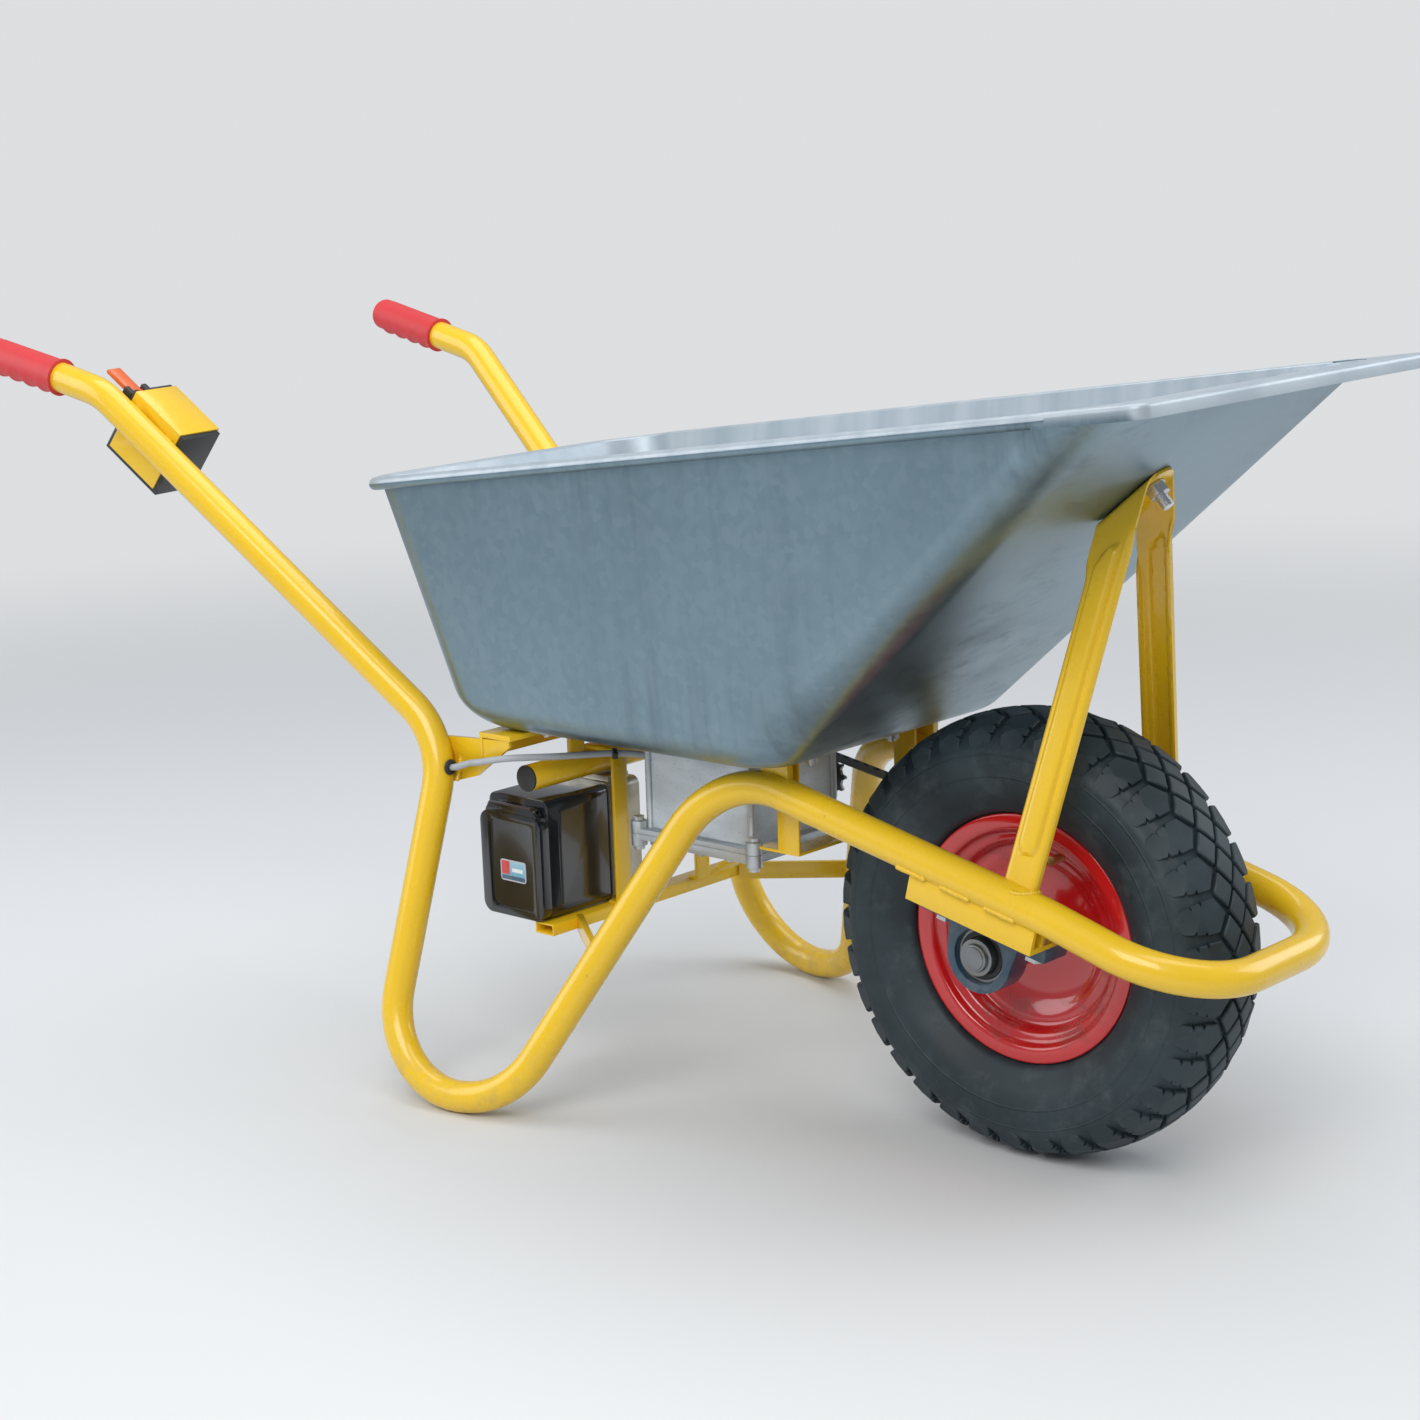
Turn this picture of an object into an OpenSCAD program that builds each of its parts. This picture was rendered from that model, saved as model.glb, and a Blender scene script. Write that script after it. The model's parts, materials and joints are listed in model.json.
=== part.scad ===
// Battery-assisted builder's wheelbarrow. Millimetres, +X forward, +Y left, +Z up, ground at z = 0.
// All stations are measured from the axle along X; the whole part is then moved by axle_x.

/* [Frame tube] */
// outer diameter of the frame tube
tube_d = 32; // [28:1:34]
// wall of the frame tube
tube_wall = 2; // [1.5:0.5:3]
// half width between the handles at the grips
handle_y = 276; // [265:1:290]
// half width of the frame at the knees
knee_y = 187; // [180:1:192]
// half width of the legs at the ground
foot_y = 300; // [285:1:310]
// half width of the rails beside the wheel
rail_y = 118; // [114:1:122]
// length of each grip
grip_len = 118; // [105:1:130]
// outer diameter of each grip
grip_d = 36; // [35:0.5:38]

/* [Wheel] */
// outer diameter of the tyre
tyre_d = 415; // [395:1:425]
// section width of the tyre
tyre_w = 110; // [96:1:112]
// outer diameter of the rim flanges
rim_d = 233; // [225:1:238]
// distance between the outer faces of the rim flanges
rim_w = 66; // [60:1:72]
// diameter of the axle shaft
shaft_d = 25; // [22:1:28]

/* [Tray] */
// half width of the tray floor
floor_y = 184; // [170:1:186]
// half width of the tray at the rear rim
rear_y = 202; // [190:1:208]
// half width of the tray at the front rim
front_y = 220; // [208:1:226]
// sheet thickness of the tray
sheet = 1.6; // [1.2:0.2:2]
// radius of the rolled rim
bead_r = 6; // [5:0.5:7]
// depth of the flat lip at the front
lip = 42; // [30:1:50]

/* [Power unit] */
// length of the drive housing along the barrow
box_x = 134; // [120:1:140]
// width of the drive housing
box_y = 124; // [110:1:125]
// width of the battery
battery_x = 84; // [76:1:86]
// height of the battery
battery_z = 123; // [112:1:124]

/* [Hidden] */

yellow = [0.95, 0.75, 0.05];
zinc = [0.75, 0.77, 0.8];
black = [0.06, 0.06, 0.07];
blue = [0.11, 0.25, 0.34];
red = [0.8, 0.07, 0.05];
steel = [0.6, 0.6, 0.62];
galv = [0.6, 0.66, 0.7];

axle_x = 469.25;
axle_z = tyre_d / 2;
gap = 0.4;
eps = 0.01;
tr = tube_d / 2;

// frame centre line: right-hand side, from the grip end to the guard loop
grip_end = [-1186, 0, 732];
path = [
  [-1068, -handle_y, 706],
  [-1003, -handle_y + 4, 691],
  [-586, -knee_y, 350.6],
  [-596, -foot_y, tr - 16.92],
  [-435, -foot_y + 34, tr + 9.08],
  [-283, -rail_y + 6, 347.5],
  [85, -rail_y, 264.5],
  [236, -rail_y - 5, 221]];
bend_r = [0, 76, 96, 89, 95, 90, 156, 86];
full_path = concat(path, [for (i = [len(path) - 1:-1:0]) [path[i].x, -path[i].y, path[i].z]]);
full_r = concat(bend_r, [for (i = [len(bend_r) - 1:-1:0]) bend_r[i]]);

// tray corners seen from the side: floor and rim, rear and front
floor_z = 363;
floor_rear = -584;
floor_front = -175;
rim_rear = [-680, 606];
rim_front = [200, 704];
side_r = [70, 60, 36];
crease_r = [60, 55];
front_slope = atan2(rim_front.y - floor_z, rim_front.x - floor_front);
bolt_x = 104.5;
bolt_at = [bolt_x, floor_z + (bolt_x - floor_front) * tan(front_slope) + sheet / cos(front_slope)];

// drive housing, battery and switch stations
box_c = -342;
box_cy = box_y / 2 - 82;
box_bottom = 246;
bar_x = -486;
bar_z = 163;
bat_c = -526;
bat_front = -150;
bat_depth = 86;
tube_x = -508;
tube_z = 314;
holder_y = [-62, -18];
chain_y = 62.5;
motor_at = [-300, 302];
wheel_teeth_r = 60;
motor_teeth_r = 22;
block_y = 84;
block_w = 34;
shaft_end = 104;

function unit(v) = v / norm(v);
function lerp(a, b, t) = a + (b - a) * t;
function smooth(t) = t * t * (3 - 2 * t);
function arc_data(a, b, c, r) = let(
  u = unit(a - b), w = unit(c - b), half = acos(u * w) / 2,
  t = r / tan(half), m = unit(u + w))
  [b + u * t, b + w * t, b + m * r / sin(half), 180 - 2 * half];

// turns local X to e1 and local Z to n
module orient(e1, n) {
  e2 = cross(n, e1);
  rotate([atan2(e2.z, n.z), asin(-e1.z), atan2(e1.y, e1.x)]) children();
}
// turns local Z to v
module aim(v) rotate([0, acos(v.z / norm(v)), atan2(v.y, v.x)]) children();
module tube_bit(a, b, d, w) translate(a) aim(b - a)
  rotate_extrude($fn = 64) translate([d / 2 - w, 0]) square([w, norm(b - a)]);
module tube_bend(a, b, c, r, d, w) {
  k = arc_data(a, b, c, r);
  e1 = unit(k[0] - k[2]);
  n = unit(cross(unit(b - a), unit(c - b)));
  translate(k[2]) orient(e1, n) rotate_extrude(angle = k[3], $fn = 72)
    translate([r, 0]) difference() { circle(d = d, $fn = 48); circle(d = d - 2 * w, $fn = 48); }
}
// frame stretch from vertex i to vertex j; the bends at from and to are left out when flagged
module stretch(i, j, d = tube_d, w = tube_wall) {
  P = full_path;
  for (k = [i:j]) {
    if (k > 0 && k < len(P) - 1 && k > i) tube_bend(P[k - 1], P[k], P[k + 1], full_r[k], d, w);
    if (k < j) {
      a = k == 0 ? P[0] : arc_data(P[k - 1], P[k], P[k + 1], full_r[k])[1];
      b = k + 1 == len(P) - 1 ? P[k + 1] : arc_data(P[k], P[k + 1], P[k + 2], full_r[k + 1])[0];
      tube_bit(a, b, d, w);
    }
  }
}
module both() { children(); mirror([0, 1, 0]) children(); }
module place() translate([axle_x, 0, 0]) children();
function on_path(i, t) = let(
  a = arc_data(path[i - 1], path[i], path[i + 1], bend_r[i])[1],
  b = arc_data(path[i], path[i + 1], full_path[i + 2], full_r[i + 1])[0]) lerp(a, b, t);
function arc_pt(i, f) = let(
  k = arc_data(full_path[i - 1], full_path[i], full_path[i + 1], full_r[i]), a = k[0] - k[2],
  n = unit(cross(full_path[i] - full_path[i - 1], full_path[i + 1] - full_path[i])))
  k[2] + a * cos(k[3] * f) + cross(n, a) * sin(k[3] * f);
grip_dir = unit(grip_end + [0, -handle_y - 10, 0] - path[0]);

// swept round section along points, as one closed body; bore > 0 makes it a pipe
module sweep(pts, r, sides = 8, bore = 0, ref = [0, 0, 1], from = undef, to = undef) {
  n = len(pts);
  T = [for (i = [0:n - 1]) unit(i == 0 && from != undef ? from : i == n - 1 && to != undef ? to
    : pts[min(i + 1, n - 1)] - pts[max(i - 1, 0)])];
  function ring(i, q) = let(u = unit(cross(ref, T[i])), v = cross(T[i], u))
    [for (s = [0:sides - 1]) pts[i] + q * (cos(360 * s / sides) * u + sin(360 * s / sides) * v)];
  m = n * sides;
  skin_out = [for (i = [0:n - 1]) each ring(i, r)];
  wall = [for (i = [0:n - 2], s = [0:sides - 1]) let(q = (s + 1) % sides)
    [i * sides + s, (i + 1) * sides + s, (i + 1) * sides + q, i * sides + q]];
  if (bore == 0) polyhedron(skin_out, concat(
    [[for (s = [0:sides - 1]) s]], wall, [[for (s = [sides - 1:-1:0]) (n - 1) * sides + s]]));
  else polyhedron(concat(skin_out, [for (i = [0:n - 1]) each ring(i, bore)]), concat(wall,
    [for (f = wall) [f[3] + m, f[2] + m, f[1] + m, f[0] + m]],
    [for (s = [0:sides - 1]) let(q = (s + 1) % sides) [s, q, m + q, m + s]],
    [for (s = [0:sides - 1]) let(q = (s + 1) % sides, e = (n - 1) * sides)
      [e + q, e + s, e + m + s, e + m + q]]));
}
bend_steps = 7;
function bend_pts(i) = [for (f = [0:bend_steps]) arc_pt(i, f / bend_steps)];
module pipe(pts, ref = [0, 1, 0], from = undef, to = undef)
  sweep(pts, tr, 28, tr - tube_wall, ref, from, to);

// ---- frame ----
handle_hole = on_path(1, 0.1);
handle_t = unit(path[2] - path[1]);
handle_up = unit([0, 0, 1] - handle_t * handle_t.z);
handle_in = cross(handle_up, handle_t);
knee_hole = arc_pt(2, 0.72);
handle_pts = concat([path[0] + grip_dir * (grip_len - 5), path[0]], bend_pts(1),
  [arc_data(path[1], path[2], path[3], bend_r[2])[0]]);
module handle_right() color(yellow) place() difference() {
  pipe(handle_pts);
  translate(handle_hole) aim(handle_in) cylinder(d = 10, h = tube_d, $fn = 32);
}
module handle_left() color(yellow) place() mirror([0, 1, 0]) pipe(handle_pts);
leg_pts = concat(bend_pts(2), bend_pts(3), bend_pts(4), bend_pts(5));
leg_from = path[2] - path[1];
rail_from = path[6] - path[5];
loop_from = path[7] - path[6];
module leg_right() color(yellow) place() difference() {
  pipe(leg_pts, from = leg_from, to = rail_from);
  translate(knee_hole) rotate([0, 90, 0]) cylinder(d = 11, h = tube_d, $fn = 32);
}
module leg_left() color(yellow) place() mirror([0, 1, 0]) pipe(leg_pts, from = leg_from, to = rail_from);
rail_pts = concat([arc_pt(5, 1)], bend_pts(6), [arc_pt(7, 0)]);
module rail_right() color(yellow) place() pipe(rail_pts, from = rail_from, to = loop_from);
module rail_left() color(yellow) place() mirror([0, 1, 0]) pipe(rail_pts, from = rail_from, to = loop_from);
loop_half = bend_pts(7);
module guard_loop() color(yellow) place() pipe(concat(loop_half,
  [for (i = [len(loop_half) - 1:-1:0]) [loop_half[i].x, -loop_half[i].y, loop_half[i].z]]), [0, 0, 1],
  loop_from, [-loop_from.x, loop_from.y, -loop_from.z]);
module grip()
  translate(path[0] + grip_dir * 0.5) orient(unit(cross([0, 1, 0], grip_dir)), grip_dir) difference() {
  union() {
    cylinder(d = grip_d, h = grip_len, $fn = 48);
    cylinder(d = grip_d + 4, h = 3.5, $fn = 48);
    translate([0, 0, grip_len - 0.01]) cylinder(d1 = grip_d, d2 = grip_d - 6, h = 4, $fn = 48);
    for (i = [0:3]) translate([-5.5, 0, 22 + i * 24]) sphere(r = grip_d / 2 - 2.5, $fn = 40);
  }
  translate([0, 0, -5]) cylinder(d = tube_d + 0.02, h = grip_len + 0.5, $fn = 64);
}
module grip_right() color(red) place() grip();
module grip_left() color(red) place() mirror([0, 1, 0]) grip();

// ---- front strut ----
face_n = [sin(front_slope), 0, -cos(front_slope)];
face_t = [cos(front_slope), 0, sin(front_slope)];
strut_foot = [54, -rail_y + 3, 289];
strut_top = [bolt_at.x - 11.5, -24.5, bolt_at.y - 10.4];
strut_sheet = 3;
strut_w = 32;
strut_lip = 8;
tab_r = 17;
module strut_leg() {
  v = strut_top - strut_foot;
  translate(strut_foot) orient(unit([1, 0, 0] - unit(v) * (unit(v).x)), unit(v))
    translate([0, 0, -14]) linear_extrude(norm(v) + 34) difference() {
      union() {
        translate([-strut_w / 2, -2]) square([strut_w, strut_sheet]);
        for (s = [-1, 1]) translate([s * (strut_w - strut_sheet) / 2 - strut_sheet / 2, -2])
          square([strut_sheet, strut_lip]);
        translate([-strut_w * 0.3, -5]) square([strut_w * 0.6, 5]);
      }
      translate([-strut_w * 0.3 + 2, -3]) square([strut_w * 0.6 - 4, 6]);
    }
}
module front_strut() color(yellow) place() difference() {
  union() {
    both() strut_leg();
    // top plate, lying on the tray's sloping face
    translate([bolt_at.x, 0, bolt_at.y] + face_n * (sheet + 0.2)) orient(face_t, -face_n)
      translate([0, 0, -strut_sheet]) linear_extrude(strut_sheet) hull() {
        translate([4, 0]) circle(r = tab_r, $fn = 64);
        for (s = [-1, 1]) translate([-strut_w - 7, s * 29]) circle(r = 4, $fn = 24);
      }
  }
  translate([bolt_at.x, 0, bolt_at.y] - face_n * 5) aim(face_n) cylinder(d = 11, h = 20, $fn = 32);
  both() stretch(5, 6, tube_d + 0.02, tr);
  translate([bolt_at.x, 0, bolt_at.y] + face_n * (sheet + 0.19)) orient(face_t, -face_n)
    translate([-90, -90, 0]) cube([180, 180, 60]);
}
module hex_bolt(p, dir, grip_h, d = 10, head = 6.4, af = 17, out = 12) {
  translate(p) aim(dir) {
    translate([0, 0, -1.6]) cylinder(d = d * 2.1, h = 1.6, $fn = 40);
    translate([0, 0, -1.6 - head]) cylinder(d = af / cos(30), h = head, $fn = 6);
    translate([0, 0, -eps]) cylinder(d = d, h = grip_h + out, $fn = 32);
  }
  translate(p + unit(dir) * grip_h) aim(dir) {
    cylinder(d = d * 2, h = 1.8, $fn = 40);
    translate([0, 0, 1.8]) cylinder(d = af / cos(30), h = 8, $fn = 6);
  }
}
module strut_bolt() color(zinc) place()
  hex_bolt([bolt_at.x, 0, bolt_at.y] - face_n * 0.2, face_n, sheet + strut_sheet + 0.6, out = 22);

// ---- tray ----
rear_a = atan2(rim_rear.y - floor_z, floor_rear - rim_rear.x);
side_rise = lerp(rim_rear.y, rim_front.y, 0.5) - floor_z;
// profile of one wall: inset or overhang from the floor corner, and height share, at level k
arc_n = 5;
wall_n = 3;
levels = arc_n + wall_n;
function wall_pt(k, r, a, rise, off) = let(
  t = r * tan(a / 2), ro = r - off,
  u = min(k / arc_n, 1) * a,
  e = [-t + r * sin(a), r - r * cos(a)],
  top = [rise / tan(a), rise],
  q = k <= arc_n ? [-t + ro * sin(u) , r - ro * cos(u)]
    : lerp(e + off * [-sin(a), cos(a)], top + [-off / sin(a), 0], (k - arc_n) / wall_n)) q;
function side_at(x, k, off) = let(
  s = (x - rim_rear.x) / (rim_front.x - rim_rear.x),
  rise = lerp(rim_rear.y, rim_front.y, s) - floor_z,
  over = lerp(rear_y, front_y, s) - floor_y,
  a = atan2(rise, over)) wall_pt(k, side_r[2], a, rise, off);
loop_n = 9;
function tray_loop(k, off) = let(
  rp = wall_pt(k, side_r[0], rear_a, rim_rear.y - floor_z, off),
  fp = wall_pt(k, side_r[1], front_slope, rim_front.y - floor_z, off),
  xr = floor_rear - rp.x, xf = floor_front + fp.x,
  s = min(k / levels, 1),
  rr = lerp(46, crease_r[0], s) - off, rf = lerp(30, crease_r[1], s) - off,
  yr = floor_y + side_at(xr + rr, k, off).x, yf = floor_y + side_at(xf - rf, k, off).x,
  rear_corner = [for (i = [0:loop_n]) let(a = 90 * i / loop_n, h = smooth(i / loop_n),
    x = xr + rr - rr * cos(a))
    [x, -(yr - rr + rr * sin(a)), floor_z + lerp(rp.y, side_at(x, k, off).y, h)]],
  front_corner = [for (i = [0:loop_n]) let(a = 90 * i / loop_n, h = smooth(i / loop_n),
    x = xf - rf + rf * sin(a))
    [x, -(yf - rf + rf * cos(a)), floor_z + lerp(side_at(x, k, off).y, fp.y, h)]],
  right = concat(rear_corner, [for (i = [1:5]) let(x = lerp(xr + rr, xf - rf, i / 6))
    [x, -lerp(yr, yf, i / 6), floor_z + side_at(x, k, off).y]], front_corner))
  concat(right, [for (i = [len(right) - 1:-1:0]) [right[i].x, -right[i].y, right[i].z]]);
module shell() {
  outer = [for (k = [0:levels]) tray_loop(k, 0)];
  inner = [for (k = [0:levels]) tray_loop(k, sheet)];
  m = len(outer[0]);
  L = levels + 1;
  mid = [(floor_rear + floor_front) / 2, 0];
  pts = concat([for (l = outer, p = l) p], [for (l = inner, p = l) p],
    [[mid.x, 0, floor_z], [mid.x, 0, floor_z + sheet]]);
  c = 2 * L * m;
  faces = concat(
    [for (i = [0:m - 1]) let(q = (i + 1) % m) [c, i, q]],
    [for (i = [0:m - 1]) let(q = (i + 1) % m) [c + 1, L * m + q, L * m + i]],
    [for (k = [0:L - 2], i = [0:m - 1]) let(q = (i + 1) % m, a = k * m)
      each [[a + i, a + m + i, a + m + q], [a + i, a + m + q, a + q]]],
    [for (k = [0:L - 2], i = [0:m - 1]) let(q = (i + 1) % m, a = (L + k) * m)
      each [[a + i, a + m + q, a + m + i], [a + i, a + q, a + m + q]]],
    [for (i = [0:m - 1]) let(q = (i + 1) % m, a = (L - 1) * m, b = (2 * L - 1) * m)
      each [[a + i, b + i, b + q], [a + i, b + q, a + q]]]);
  polyhedron(pts, faces);
}
top_loop = tray_loop(levels, 0);
half_n = len(top_loop) / 2;
// the bead runs from the front right corner, round the rear, to the front left corner
bead_start = 2 * loop_n + 6;
bead_half = [for (i = [bead_start:-1:0]) top_loop[i] + [i <= loop_n ? -cos(90 * i / loop_n) * bead_r : 0,
  -sin(90 * min(i, loop_n) / loop_n) * bead_r, -bead_r + 1.5]];
bead_line = concat(bead_half,
  [for (i = [len(bead_half) - 1:-1:0]) [bead_half[i].x, -bead_half[i].y, bead_half[i].z]]);
module tray() color(galv) place() difference() {
  union() {
    shell();
    difference() {
      sweep(bead_line, bead_r, 10);
      sweep([for (i = [1:len(bead_line) - 2]) bead_line[i]], bead_r - 1.6, 10);
    }
    // flat lip across the front with its turned edge
    translate([rim_front.x - 3, 0, rim_front.y - 1]) rotate([0, -9, 0]) {
      translate([0, -front_y - bead_r, -2]) cube([lip, 2 * (front_y + bead_r), 2]);
      translate([lip - 2, -front_y - bead_r, -12]) cube([2, 2 * (front_y + bead_r), 12]);
      for (s = [-1, 1]) translate([0, s * (front_y + bead_r - 1) - 1, -12]) cube([lip, 2, 12]);
    }
  }
  translate([bolt_at.x, 0, bolt_at.y] - face_n * 8) aim(face_n) cylinder(d = 11, h = 20, $fn = 24);
  for (p = tray_bolt_at) translate([p.x, p.y, floor_z - eps])
    cylinder(d1 = 9, d2 = 17.4, h = sheet + 2 * eps, $fn = 32);
}
module rim_wire() color(steel) place() sweep([for (i = [3:len(bead_line) - 4]) bead_line[i]], 3.2, 8);
tray_bolt_at = [for (x = [-520, -218], s = [-1, 1]) [x, s * (x < -300 ? 110 : 62)]];
// countersunk bolts, flush with the tray floor
module tray_bolts() color(zinc) place() for (p = tray_bolt_at) translate([p.x, p.y, floor_z]) {
  translate([0, 0, 0.06]) cylinder(d1 = 8.8, d2 = 16.8, h = sheet - 0.1, $fn = 32);
  translate([0, 0, -16]) cylinder(d = 8, h = 16.5, $fn = 32);
  translate([0, 0, -6.9]) cylinder(d = 16, h = 1.6, $fn = 40);
  translate([0, 0, -13.4]) cylinder(d = 13 / cos(30), h = 6.6, $fn = 6);
}

// ---- cross members ----
module front_crossbar() color(yellow) place() difference() {
  y = rail_y - 4;
  union() {
    translate([-234, -y, floor_z - 5.2]) cube([32, 2 * y, 5]);
    both() translate([-234, -y, floor_z - 26]) cube([32, 8, 22]);
  }
  both() stretch(4, 6, tube_d + 0.02, tr);
  for (p = tray_bolt_at) translate([p.x, p.y, floor_z - 20]) cylinder(d = 9, h = 40, $fn = 24);
}
module rear_crossmember() color(yellow) place() difference() {
  union() {
    translate([-542, -knee_y + 4, floor_z - 5.2]) cube([44, 2 * knee_y - 8, 5]);
    translate([-542, -knee_y + 4, floor_z - 26]) cube([4, 2 * knee_y - 8, 22]);
    both() translate([-575, -knee_y + 9, 0]) rotate([90, 0, 0]) linear_extrude(4)
      polygon([[-16, floor_z - 10], [74, floor_z - 5], [74, floor_z - 12],
        [26, floor_z - 46], [-16, floor_z - 58]]);
  }
  both() stretch(1, 3, tube_d + 0.02, tr);
  for (p = tray_bolt_at) translate([p.x, p.y, floor_z - 20]) cylinder(d = 9, h = 40, $fn = 24);
}
module lower_crossbar() color(yellow) place() difference() {
  translate([bar_x - 13, -160, bar_z - 6]) cube([26, 320, 12]);
  translate([bar_x - 11, -161, bar_z - 4]) cube([22, 322, 8]);
}
brace_end = on_path(4, 0.43);
module leg_braces() color(yellow) place() difference() {
  both() {
    a = [bar_x + 13, -122, bar_z];
    v = [brace_end.x, brace_end.y, bar_z] - a;
    translate(a) rotate([0, 0, atan2(v.y, v.x)]) translate([0, -3, -9]) cube([norm(v), 6, 18]);
  }
  both() stretch(3, 5, tube_d + 0.02, tr);
  translate([bar_x - 13, -160, bar_z - 6]) cube([26, 320, 12]);
}
module battery_tube() color(yellow) place() translate([tube_x, 152, tube_z]) rotate([90, 0, 0])
  rotate_extrude($fn = 48) translate([11.5, 0]) square([2, 304]);
module tube_caps() color(black) place() both() translate([tube_x, -152 - 2.5, tube_z]) rotate([-90, 0, 0]) {
  cylinder(d = 27, h = 2.5, $fn = 48);
  cylinder(d = 22.96, h = 16, $fn = 48);
}
module battery_straps() color(yellow) place() difference() {
  both() {
    translate([-472, -70, bar_z + 6]) cube([4, 20, tube_z + 13 - bar_z]);
    translate([tube_x, -70, tube_z + 15]) cube([-468 - tube_x, 20, 4]);
    translate([-482, -70, bar_z + 6]) cube([14, 20, 4]);
    translate([tube_x - 3, -70, tube_z + 8]) cube([6, 20, 11]);
    translate([tube_x - 3, -92, tube_z + 8]) cube([6, 20, floor_z - 5.2 - tube_z - 8]);
  }
  translate([tube_x, 160, tube_z]) rotate([90, 0, 0]) cylinder(d = 27.02, h = 320, $fn = 48);
}

// ---- battery ----
bat_x0 = bat_c - battery_x / 2;
bat_z0 = bar_z + 7;
module rounded(sx, sz, r, h) translate([r, r]) linear_extrude(h) {
  translate([0, -r]) square([sx - 2 * r, sz]);
  translate([-r, 0]) square([sx, sz - 2 * r]);
  for (x = [0, sx - 2 * r], z = [0, sz - 2 * r]) translate([x, z]) circle(r = r, $fn = 32);
}
module upright(x, y, z, sx, sz, r, d) translate([x, y + d, z]) rotate([90, 0, 0]) rounded(sx, sz, r, d);
module battery_case() color(black) place() difference() {
  union() {
    upright(bat_x0, bat_front, bat_z0, battery_x, battery_z, 9, bat_depth);
    upright(bat_x0 + 10, bat_front - 8, bat_z0 + 8, battery_x - 20, battery_z - 38, 5, 9);
    translate([bat_x0 + battery_x - 2, bat_front + 14, bat_z0 + 14]) cube([4, 4, battery_z - 28]);
  }
  upright(bat_x0 + 3, bat_front + 3, bat_z0 + 3, battery_x - 6, battery_z - 6, 6, bat_depth - 6);
  for (s = [-1, 1]) translate([bat_c + s * 22 - 5, bat_front + bat_depth - 8, bat_z0 + 30]) cube([10, 9, 30]);
}
cell_d = 18;
cell_step = [19, 21];
cell_count = [floor((battery_x - 8) / cell_step.x), floor((battery_z - 8) / cell_step.y)];
module battery_cells() color([0.2, 0.35, 0.6]) place()
  for (i = [0:cell_count.x - 1], j = [0:cell_count.y - 1])
    translate([bat_c + (i - (cell_count.x - 1) / 2) * cell_step.x, bat_front + 6, bat_z0 + 15 + j * cell_step.y])
      rotate([-90, 0, 0]) cylinder(d = cell_d, h = bat_depth - 21, $fn = 32);
door_z = bat_z0 + battery_z - 12;
module battery_door() color(black) place() difference() {
  union() {
    upright(bat_x0 - 1, bat_front - 13, bat_z0, battery_x + 2, battery_z - 16, 12, 12.6 - gap);
    upright(bat_x0 + 5, bat_front - 11, bat_z0 + 70, battery_x - 10, battery_z - 78, 12, 8);
    translate([bat_x0 + 8, bat_front - 6, door_z]) rotate([0, 90, 0])
      cylinder(d = 9, h = battery_x - 16, $fn = 32);
  }
  upright(bat_x0 + 9.6, bat_front - 8.4, bat_z0 + 7.6, battery_x - 19.2, battery_z - 29.2, 5, 12);
  upright(bat_x0 + 11, bat_front - 14, bat_z0 + 8, battery_x - 22, battery_z - 32, 8, 3.6);
  translate([bat_x0, bat_front - 6, door_z]) rotate([0, 90, 0]) cylinder(d = 4, h = battery_x, $fn = 24);
}
module battery_label() color([0.75, 0.85, 0.9]) place()
  upright(bat_c - 18, bat_front - 11.2, bat_z0 + 36, 36, 22, 3, 0.8);
module battery_holder() color(zinc) place() difference() {
  union() {
    upright(bat_x0 - 1, holder_y[0] + 0.4, bat_z0 - 0.6, battery_x + 2, battery_z + 1, 9,
      holder_y[1] - holder_y[0]);
    translate([bat_x0 + 6, holder_y[0] + 6, bat_z0 + battery_z - 2]) cube([battery_x - 12, 30, 8]);
  }
  upright(bat_x0 + 2, holder_y[0] + 4, bat_z0 + 3, battery_x - 4, battery_z - 6, 7,
    holder_y[1] - holder_y[0] - 7);
  for (s = [-1, 1]) translate([bat_c + s * 22 - 3, holder_y[0] - 1, bat_z0 + 32]) cube([6, 9, 26]);
}
module holder_contacts() color([0.8, 0.6, 0.25]) place() for (s = [-1, 1])
  translate([bat_c + s * 22 - 2, holder_y[0] - 7, bat_z0 + 34]) cube([4, 22, 22]);

// ---- drive housing ----
bx0 = box_c - box_x / 2;
module plan(sx, sy, r, h) translate([-sx / 2 + r, -sy / 2 + r, 0]) linear_extrude(h) {
  translate([0, -r]) square([sx - 2 * r, sy]);
  translate([-r, 0]) square([sx, sy - 2 * r]);
  for (x = [0, sx - 2 * r], y = [0, sy - 2 * r]) translate([x, y]) circle(r = r, $fn = 32);
}
module at_lugs() for (x = [-1, 1], y = [-1, 1])
  translate([x * (box_x / 2 + 8), y * (box_y / 2 + 7), 0]) children();
module lugs(h) at_lugs() cylinder(d = 16, h = h, $fn = 40);
module lug_holes(h) at_lugs() translate([0, 0, -1]) cylinder(d = 7, h = h, $fn = 32);
module drive_housing() color(galv) place() difference() {
  translate([box_c, box_cy, 0]) {
    translate([0, 0, box_bottom + 13]) plan(box_x, box_y, 6, floor_z - 0.4 - box_bottom - 13);
    translate([0, 0, box_bottom + 13]) plan(box_x + 26, box_y + 26, 8, 5);
    translate([0, 0, box_bottom + 13]) lugs(12);
    for (x = [-1, 1], y = [-1, 1]) translate([x * (box_x / 2 - 1), y * (box_y / 2 - 1), box_bottom + 13])
      cylinder(d = 8, h = 96, $fn = 24);
  }
  translate([box_c, box_cy, box_bottom + 10]) plan(box_x - 7, box_y - 7, 4, floor_z - box_bottom - 14);
  translate([box_c, box_cy, box_bottom + 13]) lug_holes(20);
  translate([motor_at.x, box_cy + box_y / 2 - 8, motor_at.y]) rotate([-90, 0, 0]) cylinder(d = 22, h = 40, $fn = 40);
  translate([bx0 - 15, -60, 330]) rotate([0, 90, 0]) cylinder(d = 10, h = 40, $fn = 24);
}
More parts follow.
